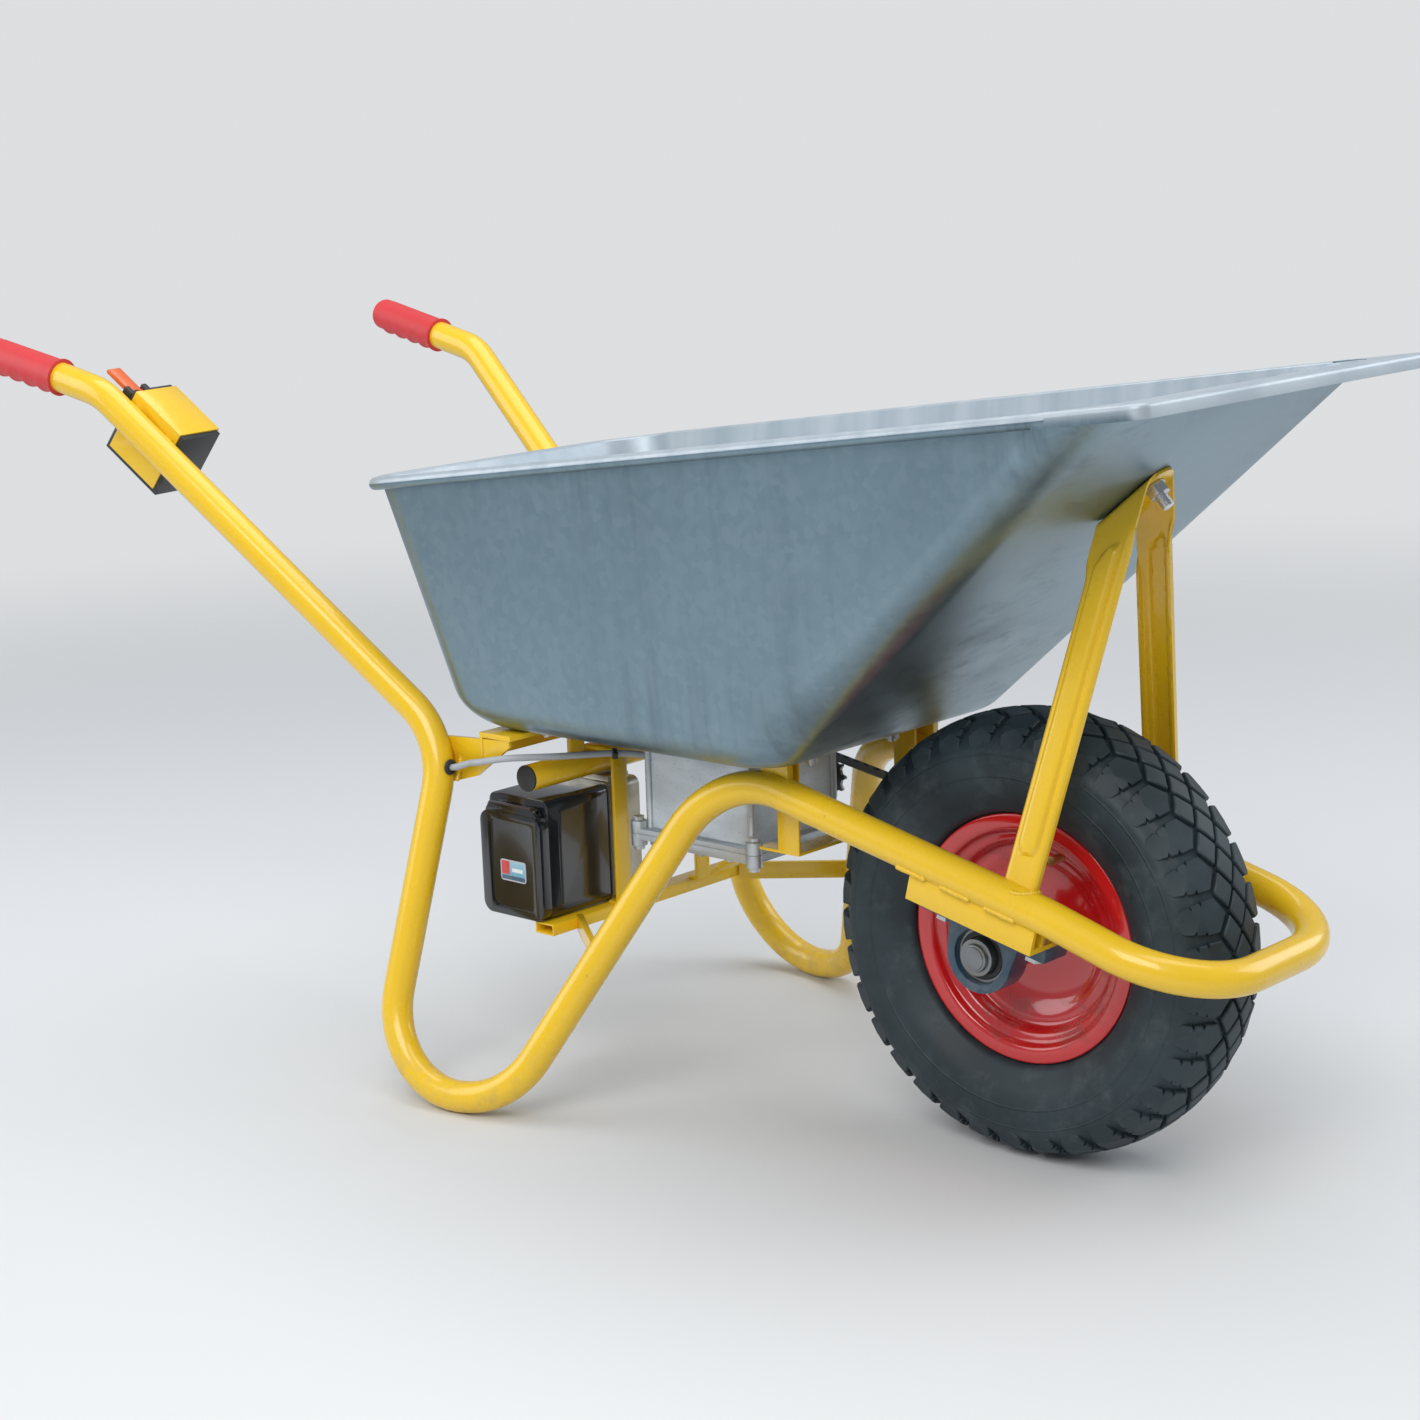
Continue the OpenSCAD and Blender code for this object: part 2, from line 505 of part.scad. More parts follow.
module housing_lid() color(galv) place() difference() {
  translate([box_c, box_cy, box_bottom]) {
    translate([0, 0, 7]) plan(box_x + 26, box_y + 26, 8, 5.6);
    plan(box_x + 6, box_y + 6, 10, 8);
    lugs(12.6);
    for (i = [-1:1]) translate([i * 38 - 3, -box_y / 2 - 2, -2]) cube([6, box_y + 4, 3]);
  }
  translate([box_c, box_cy, box_bottom + 3]) plan(box_x - 7, box_y - 7, 6, 12);
  translate([box_c, box_cy, box_bottom]) lug_holes(20);
}
module housing_screws() color(zinc) place() translate([box_c, box_cy, box_bottom])
  at_lugs() {
    translate([0, 0, -4.3]) cylinder(d = 11.5, h = 4.2, $fn = 6);
    translate([0, 0, -0.2]) cylinder(d = 6, h = 28, $fn = 32);
    translate([0, 0, 25.1]) cylinder(d = 11.5, h = 4.5, $fn = 6);
  }
module housing_strap() color(yellow) place() difference() {
  w = 90;
  union() {
    translate([-236, -w, box_bottom + 19]) cube([26, 2 * w, 3]);
    both() translate([-236, -w, box_bottom + 19]) cube([26, 3, floor_z - box_bottom - 24.2]);
    translate([-262, -w, box_bottom + 19]) cube([40, 20, 3]);
  }
  translate([box_c, box_cy, box_bottom + 13]) lugs(30);
}
module gear_motor() color(steel) place() {
  translate([motor_at.x, -70, motor_at.y]) rotate([-90, 0, 0]) cylinder(d = 40, h = 76, $fn = 64);
  translate([motor_at.x, 6 - eps, motor_at.y]) rotate([-90, 0, 0]) cylinder(d = 34, h = 30, $fn = 64);
  for (y = [-60, -10])
    translate([motor_at.x - 17, y, motor_at.y + 8]) cube([34, 10, floor_z - 4.4 - motor_at.y - 8]);
}
module control_board() color([0.05, 0.35, 0.15]) place() {
  translate([bx0 + 6, box_cy - 55, box_bottom + 26]) cube([1.6, 110, 80]);
  for (y = [-48, -18, 12]) translate([bx0 + 7.6 - eps, box_cy + y, box_bottom + 36]) cube([16, 22, 30]);
}

// ---- chain drive, left side ----
module sprocket(r, teeth, bore, h) difference() {
  union() {
    cylinder(r = r - 3, h = h, $fn = 64);
    for (i = [0:teeth - 1]) rotate(i * 360 / teeth) linear_extrude(h)
      polygon([[r - 4, -3.4], [r + 1.5, -1], [r + 1.5, 1], [r - 4, 3.4]]);
  }
  translate([0, 0, -1]) cylinder(d = bore, h = h + 2, $fn = 48);
}
module motor_sprocket() color(steel) place()
  translate([motor_at.x, chain_y + 2, motor_at.y]) rotate([90, 0, 0])
  union() {
    sprocket(motor_teeth_r, 11, 13, 4);
    translate([0, 0, -1.5]) cylinder(d = 14, h = chain_y + 3.5 - 36.5, $fn = 40);
  }
module wheel_sprocket() color(steel) place()
  translate([0, chain_y + 2, axle_z]) rotate([90, 0, 0]) difference() {
  sprocket(wheel_teeth_r, 30, shaft_d, 4);
  for (i = [0:5]) rotate(i * 60) translate([37, 0, -1]) cylinder(d = 18, h = 6, $fn = 32);
}

module belt_shape(grow) {
  c = [0, axle_z];
  m = motor_at;
  dist = norm(m - c);
  base = atan2(m.y - c.y, m.x - c.x);
  k = acos((wheel_teeth_r - motor_teeth_r) / dist);
  r1 = wheel_teeth_r + grow;
  r2 = motor_teeth_r + grow;
  translate(c) circle(r = r1, $fn = 96);
  translate(m) circle(r = r2, $fn = 64);
  polygon([for (p = [[c, r1, k], [m, r2, k], [m, r2, -k], [c, r1, -k]])
    p[0] + p[1] * [cos(base + p[2]), sin(base + p[2])]]);
}
module drive_chain() color(steel) place() for (s = [-3.7, 2.5])
  translate([0, chain_y + s + 1.2, 0]) rotate([90, 0, 0]) linear_extrude(1.2) difference() {
    belt_shape(3.4);
    belt_shape(-3);
  }

// ---- axle bearings ----
rail_a = atan2(path[5].z - path[6].z, path[6].x - path[5].x);
plate_low = 37;
rail_under = (path[6].z + path[6].x * tan(rail_a) - axle_z) * cos(rail_a) - tr;
module at_bearing() both() translate([0, -block_y, axle_z]) rotate([0, rail_a, 0]) children();
module bearing_plates() color(yellow) place() difference() {
  at_bearing() {
    translate([-68, block_y - rail_y - 8, plate_low]) cube([136, 24 + rail_y - block_y, 5]);
    translate([-68, block_y - rail_y - 8, plate_low]) cube([136, 5, rail_under - plate_low + 10]);
    translate([-68, block_y - rail_y + 6, plate_low]) cube([136, 5, rail_under - plate_low + 10]);
  }
  both() stretch(5, 6, tube_d + 0.02, tr);
  at_bearing() for (s = [-1, 1]) translate([s * 49, 0, plate_low - 5]) cylinder(d = 11, h = 12, $fn = 32);
}
module bearing_blocks() color(blue) place() at_bearing() difference() {
  union() {
    translate([-68, -block_w / 2, plate_low - 14]) cube([136, block_w, 13.9]);
    rotate([90, 0, 0]) translate([0, 0, -13]) cylinder(r = 34, h = 26, $fn = 72);
    rotate([90, 0, 0]) translate([0, 0, -13]) linear_extrude(26)
      polygon([[-34, 0], [34, 0], [38, plate_low - 13], [-38, plate_low - 13]]);
  }
  rotate([90, 0, 0]) translate([0, 0, -20]) cylinder(d = 52.02, h = 40, $fn = 72);
  for (s = [-1, 1]) translate([s * 49, 0, 0]) cylinder(d = 11, h = 50, $fn = 32);
  rotate([0, -112, 0]) translate([0, 0, 29]) cylinder(d = 5, h = 10, $fn = 24);
}
module ring(r0, r1, w, groove = 0) rotate([90, 0, 0]) rotate_extrude($fn = 72) difference() {
  translate([r0, -w / 2]) square([r1 - r0, w]);
  translate([19.7, 0]) circle(r = groove > 0 ? groove : 0.001, $fn = 32);
}
module bearing_outer_rings() color(steel) place() at_bearing() ring(22.4, 26, 15, 4.1);
module bearing_inner_rings() color(steel) place()
  at_bearing() rotate([90, 0, 0]) rotate_extrude($fn = 72) difference() {
  translate([shaft_d / 2 + 0.01, -17]) square([17 - shaft_d / 2, 34]);
  translate([19.7, 0]) circle(r = 4.1, $fn = 32);
}
module bearing_balls() color(steel) place() at_bearing() for (i = [0:8]) rotate([0, i * 40, 0])
  translate([19.7, 0, 0]) sphere(r = 3.8, $fn = 24);
module bearing_seals() color(black) place() at_bearing() for (s = [-1, 1]) translate([0, s * 7.5 + 0.75, 0])
  rotate([90, 0, 0]) rotate_extrude($fn = 72) translate([17.4, 0]) square([4.9, 1.5]);
module grease_nipples() color([0.1, 0.6, 0.2]) place()
  at_bearing() rotate([0, -112, 0]) translate([0, 0, 29.5]) {
  cylinder(d = 4.98, h = 6, $fn = 24);
  translate([0, 0, 4.6]) cylinder(d = 8, h = 4, $fn = 6);
  translate([0, 0, 9.6]) sphere(d = 5.5, $fn = 24);
}
module block_bolts() color(zinc) place() at_bearing() for (s = [-1, 1])
  translate([s * 49, 0, 0]) hex_bolt([0, 0, plate_low - 14.1], [0, 0, 1], 19.3, d = 10, out = 11, head = 6.4);

// ---- wheel ----
module axle_shaft() color(steel) place() translate([0, shaft_end, axle_z]) rotate([90, 0, 0]) union() {
  cylinder(d = shaft_d, h = 2 * shaft_end, $fn = 64);
  for (z = [-1.5, 2 * shaft_end]) translate([0, 0, z]) cylinder(d = shaft_d - 4, h = 1.5, $fn = 64);
}
module wheel_hub() color(red) place() translate([0, 0, axle_z]) rotate([90, 0, 0]) rotate_extrude($fn = 72)
  polygon([[shaft_d / 2 + 0.01, -56], [21, -56], [23, -54], [23, 54], [21, 56], [shaft_d / 2 + 0.01, 56]]);
rim_r = rim_d / 2;
rim_h = rim_w / 2;
module rim_half() rotate_extrude($fn = 96) {
  polygon([[23.01, 0.1], [62, 0.1], [76, 9], [88, 9.5], [92, 22], [101, 23.5], [103, 30], [108, rim_h - 1.5],
    [rim_r - 2, rim_h - 1.5], [rim_r, rim_h - 3], [rim_r, rim_h - 1], [rim_r - 1.5, rim_h], [106, rim_h],
    [101, 31.5], [99, 25.2], [89.5, 23.6], [86, 12], [75, 11.5], [61, 2.6], [23.01, 2.6]]);
}
module rim_discs() color(red) place() difference() {
  translate([0, 0, axle_z]) rotate([90, 0, 0]) {
    rim_half();
    mirror([0, 0, 1]) rim_half();
  }
  at_valve() translate([0, 0, 82]) rotate([90, 0, 0]) cylinder(d = 8.8, h = 40, $fn = 32);
}
tyre_r = tyre_d / 2;
half_w = tyre_w / 2;
// a height on the side wall, which stretches with the wall between the rim and the shoulder
function wall_at(r) = rim_r + (r - 116.5) * (tyre_r - 13 - rim_r) / 78;
inner_r = (wall_at(188) - wall_at(112)) / 2;
inner_c = (wall_at(188) + wall_at(112)) / 2;
module tyre() color(black) place() translate([0, 0, axle_z]) rotate([90, 0, 0]) rotate_extrude($fn = 128)
  difference() {
    side = [[104, 28], [109, 31], [rim_r + 1, rim_h - 4], [rim_r + 2.5, rim_h + 4], [wall_at(128), half_w - 12],
      [wall_at(140), half_w - 4], [wall_at(152), half_w - 0.6], [wall_at(164), half_w],
      [wall_at(176), half_w - 1.2], [wall_at(186), half_w - 4.5],
      [tyre_r - 13, half_w - 9], [tyre_r - 8, half_w - 16], [tyre_r - 3.6, half_w - 27],
      [tyre_r - 1, half_w - 41], [tyre_r, 6]];
    polygon(concat(side, [for (i = [len(side) - 1:-1:0]) [side[i].x, -side[i].y]],
      [[102, -21], [102, 21]]));
    cave = [[99, 16], [110, 20], [wall_at(124), 34], [wall_at(140), half_w - 12], [wall_at(162), half_w - 7.5],
      [wall_at(180), half_w - 12],
      [tyre_r - 18, half_w - 24], [tyre_r - 11, 8]];
    polygon(concat(cave, [for (i = [len(cave) - 1:-1:0]) [cave[i].x, -cave[i].y]]));
  }
module inner_tube() color([0.15, 0.15, 0.15]) place()
  translate([0, 0, axle_z]) rotate([90, 0, 0]) rotate_extrude($fn = 96)
  difference() {
    translate([inner_c, 0]) circle(r = inner_r, $fn = 48);
    translate([inner_c, 0]) circle(r = inner_r - 2.5, $fn = 48);
  }
module at_valve() translate([0, 0, axle_z]) rotate([0, 20, 0]) children();
module tube_valve() color([0.8, 0.65, 0.3]) place() at_valve() {
  translate([0, 0, 78]) cylinder(d = 8, h = 33.8, $fn = 32);
  translate([0, 2, 82]) rotate([90, 0, 0]) cylinder(d = 8, h = 30, $fn = 32);
}

// ---- handle control ----
module on_handle() translate(path[1]) orient(handle_up, handle_t) children();
ctl = [-52, -80, 26];
ctl_size = [73, 63.4, 72];
skin = 2;
lead_hole_z = norm(handle_hole - path[1]);
module lead_way(d) translate([0, 0, lead_hole_z]) rotate([90, 0, 0]) cylinder(d = d, h = 26, $fn = 32);
module switch_bracket() color(yellow) place() on_handle() difference() {
  union() {
    difference() {
      translate(ctl) cube(ctl_size);
      translate(ctl + [-1, skin, -1]) cube(ctl_size - [skin - 1, 2 * skin, -2]);
    }
    for (z = [ctl.z + 6, ctl.z + ctl_size.z - 16])
      translate([-9, ctl.y + ctl_size.y - 1, z]) cube([18, 5, 10]);
  }
  cylinder(d = tube_d + 0.04, h = 200, $fn = 96);
  translate([ctl.x + 12, ctl.y + 30, ctl.z + 60]) rotate([90, 0, 0]) cylinder(d = 4, h = 40, $fn = 24);
  lead_way(9);
}
module switch_housing() color(black) place() on_handle() difference() {
  union() {
    translate(ctl + [-5, skin + 0.1, -5]) cube(ctl_size - [skin - 4.9, 2 * skin + 0.2, -10]);
    translate([-6, -52, 9]) cube([20, 33, 14]);
  }
  translate(ctl + [-1, skin + 3, -1]) cube(ctl_size - [skin + 3, 2 * skin + 6, -2]);
  translate([-2, -45, 0]) cube([30, 20, 24]);
  lead_way(8);
}
lever_at = [7, -35, 15];
module throttle_lever() color([0.9, 0.3, 0.08]) place() on_handle() union() {
  translate([5, -44, -22]) cube([5, 18, 36]);
  translate([5, -44, -22]) rotate([-90, 0, 0]) translate([2.5, 0, 0]) cylinder(d = 5, h = 18, $fn = 24);
  translate([lever_at.x, -44, lever_at.z]) rotate([-90, 0, 0]) cylinder(d = 8, h = 18, $fn = 32);
}
module lever_spring() color(steel) place()
  on_handle() translate([lever_at.x - 6, lever_at.y, lever_at.z + 13.3])
  rotate([90, 0, 0]) rotate_extrude($fn = 40) translate([2.2, -3]) square([0.8, 6]);
module micro_switch() color([0.3, 0.3, 0.32]) place()
  on_handle() translate([-14, -60, 32]) cube([12, 24, 20]);

// ---- control lead ----
lead = concat(
  [handle_hole + handle_in * 40, handle_hole + handle_in * 26, handle_hole + handle_in * 12 + handle_t * 2,
    handle_hole + handle_in * 4 + handle_t * 11],
  [for (t = [0.16:0.07:0.98]) on_path(1, t)],
  [for (f = [0.1, 0.25, 0.4, 0.55]) arc_pt(2, f)],
  [knee_hole + [3, 0, 0], knee_hole + [12, 0, 0], knee_hole + [24, 1, 0.5]],
  [[-552, -189, 331], [-538, -191, 334], [-520, -190, 338], [-503, -184, 341], [-490, -165, 340],
   [-480, -138, 337], [-472, -112, 334.5], [-462, -90, 333], [-448, -72, 331.5], [-430, -62, 330],
   [-416, -60, 330], [-404.5, -60, 330]]);
module cable() color([0.6, 0.62, 0.64]) place() sweep(lead, 3.4, 8);
module cable_grommets() color(black) place() {
  translate(knee_hole + [tr - 4, 0, 0]) rotate([0, 90, 0]) rotate_extrude($fn = 40)
    polygon([[4.3, 0], [5.48, 0], [5.48, 5.2], [8, 5.4], [8, 7.4], [5.4, 9], [4.3, 9]]);
  translate([bx0 + 3.6, -60, 330]) rotate([0, -90, 0]) rotate_extrude($fn = 40)
    polygon([[4.1, 0], [4.98, 0], [4.98, 3.7], [8, 3.8], [8, 8], [5.5, 11], [4.1, 11]]);
}
module cable_tie() color(black) place() translate([-455, -81, 332.25]) aim([14, 18, -1.5])
  difference() {
    union() {
      translate([0, 0, -2]) cylinder(d = 11, h = 4, $fn = 32);
      translate([-2, -8, -2.5]) cube([6, 5, 5]);
    }
    translate([0, 0, -3]) cylinder(d = 7.6, h = 6, $fn = 32);
  }

handle_right();
handle_left();
leg_right();
leg_left();
rail_right();
rail_left();
guard_loop();
grip_right();
grip_left();
front_strut();
strut_bolt();
tray();
rim_wire();
front_crossbar();
rear_crossmember();
tray_bolts();
lower_crossbar();
leg_braces();
battery_tube();
tube_caps();
battery_straps();
battery_holder();
holder_contacts();
battery_case();
battery_door();
battery_label();
battery_cells();
drive_housing();
housing_lid();
housing_screws();
housing_strap();
gear_motor();
control_board();
motor_sprocket();
drive_chain();
wheel_sprocket();
bearing_plates();
bearing_blocks();
bearing_outer_rings();
bearing_balls();
bearing_inner_rings();
bearing_seals();
grease_nipples();
block_bolts();
axle_shaft();
wheel_hub();
rim_discs();
tyre();
inner_tube();
tube_valve();
switch_bracket();
switch_housing();
throttle_lever();
lever_spring();
micro_switch();
cable();
cable_grommets();
cable_tie();
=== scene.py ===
import json
import math

import bmesh
import bpy
from mathutils import Matrix, Vector

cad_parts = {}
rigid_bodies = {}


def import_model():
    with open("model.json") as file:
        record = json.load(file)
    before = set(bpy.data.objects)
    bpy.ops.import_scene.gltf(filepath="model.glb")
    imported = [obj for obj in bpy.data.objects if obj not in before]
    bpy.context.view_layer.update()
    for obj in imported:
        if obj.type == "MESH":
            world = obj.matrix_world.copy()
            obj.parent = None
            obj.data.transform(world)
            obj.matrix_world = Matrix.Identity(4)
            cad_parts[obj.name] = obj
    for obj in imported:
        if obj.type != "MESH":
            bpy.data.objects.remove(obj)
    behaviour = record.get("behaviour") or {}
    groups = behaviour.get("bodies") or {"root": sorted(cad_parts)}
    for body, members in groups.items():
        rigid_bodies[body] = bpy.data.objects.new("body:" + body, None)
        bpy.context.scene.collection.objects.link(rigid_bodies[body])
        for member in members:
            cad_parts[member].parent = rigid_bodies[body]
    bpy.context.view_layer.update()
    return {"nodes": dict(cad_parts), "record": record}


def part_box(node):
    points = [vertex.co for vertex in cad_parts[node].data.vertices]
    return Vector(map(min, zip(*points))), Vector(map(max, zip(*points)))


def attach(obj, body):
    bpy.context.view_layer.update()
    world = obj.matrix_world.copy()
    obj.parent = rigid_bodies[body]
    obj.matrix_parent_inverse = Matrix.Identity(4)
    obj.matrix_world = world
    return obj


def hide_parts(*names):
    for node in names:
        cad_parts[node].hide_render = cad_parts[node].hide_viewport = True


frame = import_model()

MM = 0.001
nodes = frame["nodes"]
record = frame["record"]
body_of_node = {n: b for b, names in record["behaviour"]["bodies"].items() for n in names}
slot_of_node = {s["node"]: s["material_slot"] for s in record["subparts"]}


def middle(node):
    low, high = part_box(node)
    return (low + high) / 2


axle = middle("axle_shaft")


def at(x, y, z):
    """A point in millimetres: forward of the axle, left of the middle plane, above the ground."""
    return Vector((axle.x + x * MM, y * MM, z * MM))


# ---------------------------------------------------------------- camera and lamps
def set_camera():
    yaw, pitch, roll = (math.radians(a) for a in (46.87, 16.77, -3.08))
    look = Vector((-math.sin(yaw) * math.cos(pitch), math.cos(yaw) * math.cos(pitch), -math.sin(pitch)))
    right = Vector((math.cos(yaw), math.sin(yaw), 0))
    up = right.cross(look)
    across = right * math.cos(roll) + up * math.sin(roll)
    upward = up * math.cos(roll) - right * math.sin(roll)
    data = bpy.data.cameras.new("studio_camera")
    data.sensor_width = 36
    data.lens = 65.904
    data.shift_x = 0.1426
    data.shift_y = 0.166
    camera = bpy.data.objects.new("studio_camera", data)
    bpy.context.scene.collection.objects.link(camera)
    turn = Matrix((across, upward, -look)).transposed().to_4x4()
    camera.matrix_world = Matrix.Translation(at(1319.2, -1903.2, 903.5)) @ turn
    bpy.context.scene.camera = camera


def add_lamp(name, place, target, size, power, tint=(1, 1, 1)):
    data = bpy.data.lights.new(name, "AREA")
    data.shape = "RECTANGLE"
    data.size, data.size_y = size
    data.energy = power
    data.color = tint
    lamp = bpy.data.objects.new(name, data)
    bpy.context.scene.collection.objects.link(lamp)
    lamp.location = place
    lamp.rotation_euler = (Vector(target) - Vector(place)).to_track_quat("-Z", "Y").to_euler()


set_camera()
bpy.context.scene.view_settings.view_transform = "Standard"

# ---------------------------------------------------------------- node trees
def add_node(tree, kind, settings, inputs):
    """A node with its settings made first, then its sockets' values or links."""
    made = tree.nodes.new(kind)
    for key, value in settings.items():
        setattr(made, key, value)
    for key, value in inputs.items():
        socket = made.inputs[key]
        if isinstance(value, Wire):
            tree.links.new(value.socket, socket)
        elif isinstance(value, bpy.types.NodeSocket):
            tree.links.new(value, socket)
        elif value is not None:
            socket.default_value = value
    return made


class Wire:
    """One output socket. Sums written on it add Math nodes."""

    def __init__(self, finish, socket):
        self.finish = finish
        self.socket = socket

    def _math(self, operation, a, b=None):
        return self.finish.node("ShaderNodeMath", {"operation": operation}, {0: a, 1: b})

    def __add__(self, other):
        return self._math("ADD", self, other)

    def __radd__(self, other):
        return self._math("ADD", other, self)

    def __sub__(self, other):
        return self._math("SUBTRACT", self, other)

    def __rsub__(self, other):
        return self._math("SUBTRACT", other, self)

    def __mul__(self, other):
        return self._math("MULTIPLY", self, other)

    def __rmul__(self, other):
        return self._math("MULTIPLY", other, self)

    def __pow__(self, other):
        return self._math("POWER", self, other)

    def __abs__(self):
        return self._math("ABSOLUTE", self)

    def above(self, edge, soft):
        """0 below the edge and 1 above it, with a soft change between."""
        return self.finish.node("ShaderNodeMapRange", {"interpolation_type": "SMOOTHSTEP"},
                                {"Value": self, "From Min": edge - soft, "From Max": edge + soft})


class Finish:
    """A material on one Principled shader, whose patterns are in the piece's own metres."""

    def __init__(self, name, colour, rough, **constants):
        self.material = bpy.data.materials.new(name)
        self.material.use_nodes = True
        self.tree = self.material.node_tree
        self.shader = self.tree.nodes["Principled BSDF"]
        self.colour = colour
        self.shader.inputs["Base Color"].default_value = (*colour, 1)
        self.shader.inputs["Roughness"].default_value = rough
        for key, value in constants.items():
            self.shader.inputs[key.replace("_", " ")].default_value = value
        self.place = self.node("ShaderNodeTexCoord", {}, {}, "Object")

    def node(self, kind, settings=None, inputs=None, out=0):
        made = add_node(self.tree, kind, settings or {}, inputs or {})
        return Wire(self, made.outputs[out])

    def axis(self, letter):
        return self.node("ShaderNodeSeparateXYZ", {}, {0: self.place}, "XYZ".index(letter))

    def stretched(self, scale=(1, 1, 1), turn=(0, 0, 0)):
        return self.node("ShaderNodeMapping", {}, {"Vector": self.place, "Scale": scale, "Rotation": turn})

    def noise(self, scale, detail=3, rough=0.5, vector=None, out=0):
        return self.node("ShaderNodeTexNoise", {}, {"Vector": vector or self.place, "Scale": scale,
                                                    "Detail": detail, "Roughness": rough}, out)

    def cells(self, scale, feature="F1", vector=None, out="Distance"):
        return self.node("ShaderNodeTexVoronoi", {"feature": feature},
                         {"Vector": vector or self.place, "Scale": scale}, out)

    def blend(self, amount, first, second, mode="MIX"):
        """Two colours mixed by an amount from 0 to 1."""
        tint = [(*c, 1) if isinstance(c, tuple) and len(c) == 3 else c for c in (first, second)]
        return self.node("ShaderNodeMix", {"data_type": "RGBA", "blend_type": mode},
                         {0: amount, 6: tint[0], 7: tint[1]}, 2)

    def bump(self, height, strength, depth, below=None):
        return self.node("ShaderNodeBump", {}, {"Height": height, "Strength": strength,
                                                "Distance": depth, "Normal": below})

    def feed(self, **sockets):
        for key, wire in sockets.items():
            self.tree.links.new(wire.socket, self.shader.inputs[key.replace("_", " ")])
        return self


def darker(colour, by):
    return tuple(c * by for c in colour)


# ---------------------------------------------------------------- finishes
def powder_coat(name, colour):
    """Thick gloss powder coat: soft orange peel, faint clouding, dust and small scuffs low down."""
    f = Finish(name, colour, 0.3, Coat_Weight=0.45, Coat_Roughness=0.08, Specular_IOR_Level=0.5)
    cloud = f.noise(9, 3)
    low = 1 - f.axis("Z").above(0.05, 0.05)
    dust = f.noise(60, 5, 0.65).above(0.56, 0.09) * (low * 0.5 + 0.04)
    chips = f.cells(46, vector=f.stretched((1, 1.3, 0.9))).above(0.055, 0.012)
    marks = f.noise(5.5, 2).above(0.6, 0.06) * (1 - chips)
    base = f.blend(cloud.above(0.5, 0.35), darker(colour, 0.93), colour)
    base = f.blend(dust * 0.6, base, (0.42, 0.30, 0.13))
    base = f.blend(marks * 0.6, base, darker(colour, 0.5))
    peel = f.noise(330, 2, 0.4)
    return f.feed(Base_Color=base, Roughness=0.22 + dust * 0.5 + f.noise(40, 3) * 0.12,
                  Normal=f.bump(peel + chips * 0.5, 0.12, 0.0012))


def galvanised(name):
    """Hot-dip zinc on pressed sheet: faint spangle, soft clouding, long drawing streaks and rub marks, with
    painted light on the faces that turn upward.
    """
    f = Finish(name, (0.23, 0.32, 0.37), 0.34, Metallic=0.88, Specular_IOR_Level=0.5)
    crystal = f.cells(120, out="Color")
    grain = f.node("ShaderNodeSeparateColor", {}, {0: crystal}, 0)
    cloud = f.noise(3.2, 4, 0.55)
    lean = (0, math.radians(-14), 0)
    drawn = f.noise(9, 3, 0.55, f.stretched((3.2, 1.0, 0.16), lean))
    thin = f.noise(26, 3, 0.6, f.stretched((3.0, 1.0, 0.12), lean))
    fine = f.noise(120, 3, 0.6, f.stretched((1.0, 1.0, 0.05)))
    patch = f.noise(2.6, 2, 0.5).above(0.5, 0.2)
    streak = (drawn.above(0.56, 0.16) * 0.65 + thin.above(0.6, 0.1) * 0.5) * patch
    smear = f.noise(7, 4, 0.6, f.stretched((0.5, 1, 1.6), (0, math.radians(25), 0))).above(0.6, 0.12)
    base = f.blend(grain * 0.5 + fine * 0.4, (0.20, 0.29, 0.345), (0.27, 0.365, 0.42))
    base = f.blend(cloud.above(0.5, 0.25) * 0.45, base, (0.16, 0.235, 0.285))
    base = f.blend(streak * 0.6, base, (0.055, 0.08, 0.1))
    base = f.blend(smear * patch * 0.35, base, (0.09, 0.12, 0.14))
    # painted light: faces that turn upward get a much paler tone as if lit from above, with paler streaks as
    # painted reflections, and are made less metallic and rougher
    facing = f.node("ShaderNodeNewGeometry", out=1)
    upward = f.node("ShaderNodeSeparateXYZ", {}, {0: facing}, 2).above(0.05, 0.05)
    painted_top_light = f.blend(drawn.above(0.5, 0.2), (0.52, 0.57, 0.61), (0.40, 0.46, 0.51))
    base = f.blend(upward * 0.85, base, painted_top_light)
    wave = f.noise(7, 2, 0.4) + fine * 0.03 + grain * 0.015
    rough = 0.26 + grain * 0.05 + fine * 0.1 + streak * 0.16 + upward * 0.06
    return f.feed(Base_Color=base, Roughness=rough, Metallic=0.88 - upward * 0.5,
                  Normal=f.bump(wave, 0.3, 0.004))


def bright_metal(name, colour, rough, grain_scale=500, stretch=(1, 1, 1), stain=(0.3, 0.26, 0.2)):
    """Plated or machined metal with fine grain, dull patches and a little grime."""
    f = Finish(name, colour, rough, Metallic=1)
    grain = f.noise(grain_scale, 3, 0.6, f.stretched(stretch))
    patch = f.noise(55, 4, 0.6)
    base = f.blend(patch.above(0.56, 0.15) * 0.45, colour, stain)
    base = f.blend(grain * 0.35, base, darker(colour, 0.62))
    return f.feed(Base_Color=base, Roughness=rough - 0.06 + patch * 0.18 + grain * 0.1,
                  Normal=f.bump(grain, 0.25, 0.0004))


def cast_metal(name, colour):
    """Die-cast aluminium skin: fine pits, flow shading and grey handling marks."""
    f = Finish(name, colour, 0.42, Metallic=0.85)
    skin = f.noise(260, 5, 0.7)
    flow = f.noise(16, 3, 0.55, f.stretched((1, 1, 2.4)))
    pits = f.cells(240).above(0.16, 0.06)
    base = f.blend(flow.above(0.5, 0.2) * 0.6, colour, darker(colour, 0.66))
    base = f.blend((1 - pits) * 0.5, base, darker(colour, 0.35))
    return f.feed(Base_Color=base, Roughness=0.3 + skin * 0.2 + flow * 0.08,
                  Normal=f.bump(skin * 0.5 + pits * 0.35, 0.32, 0.0008))


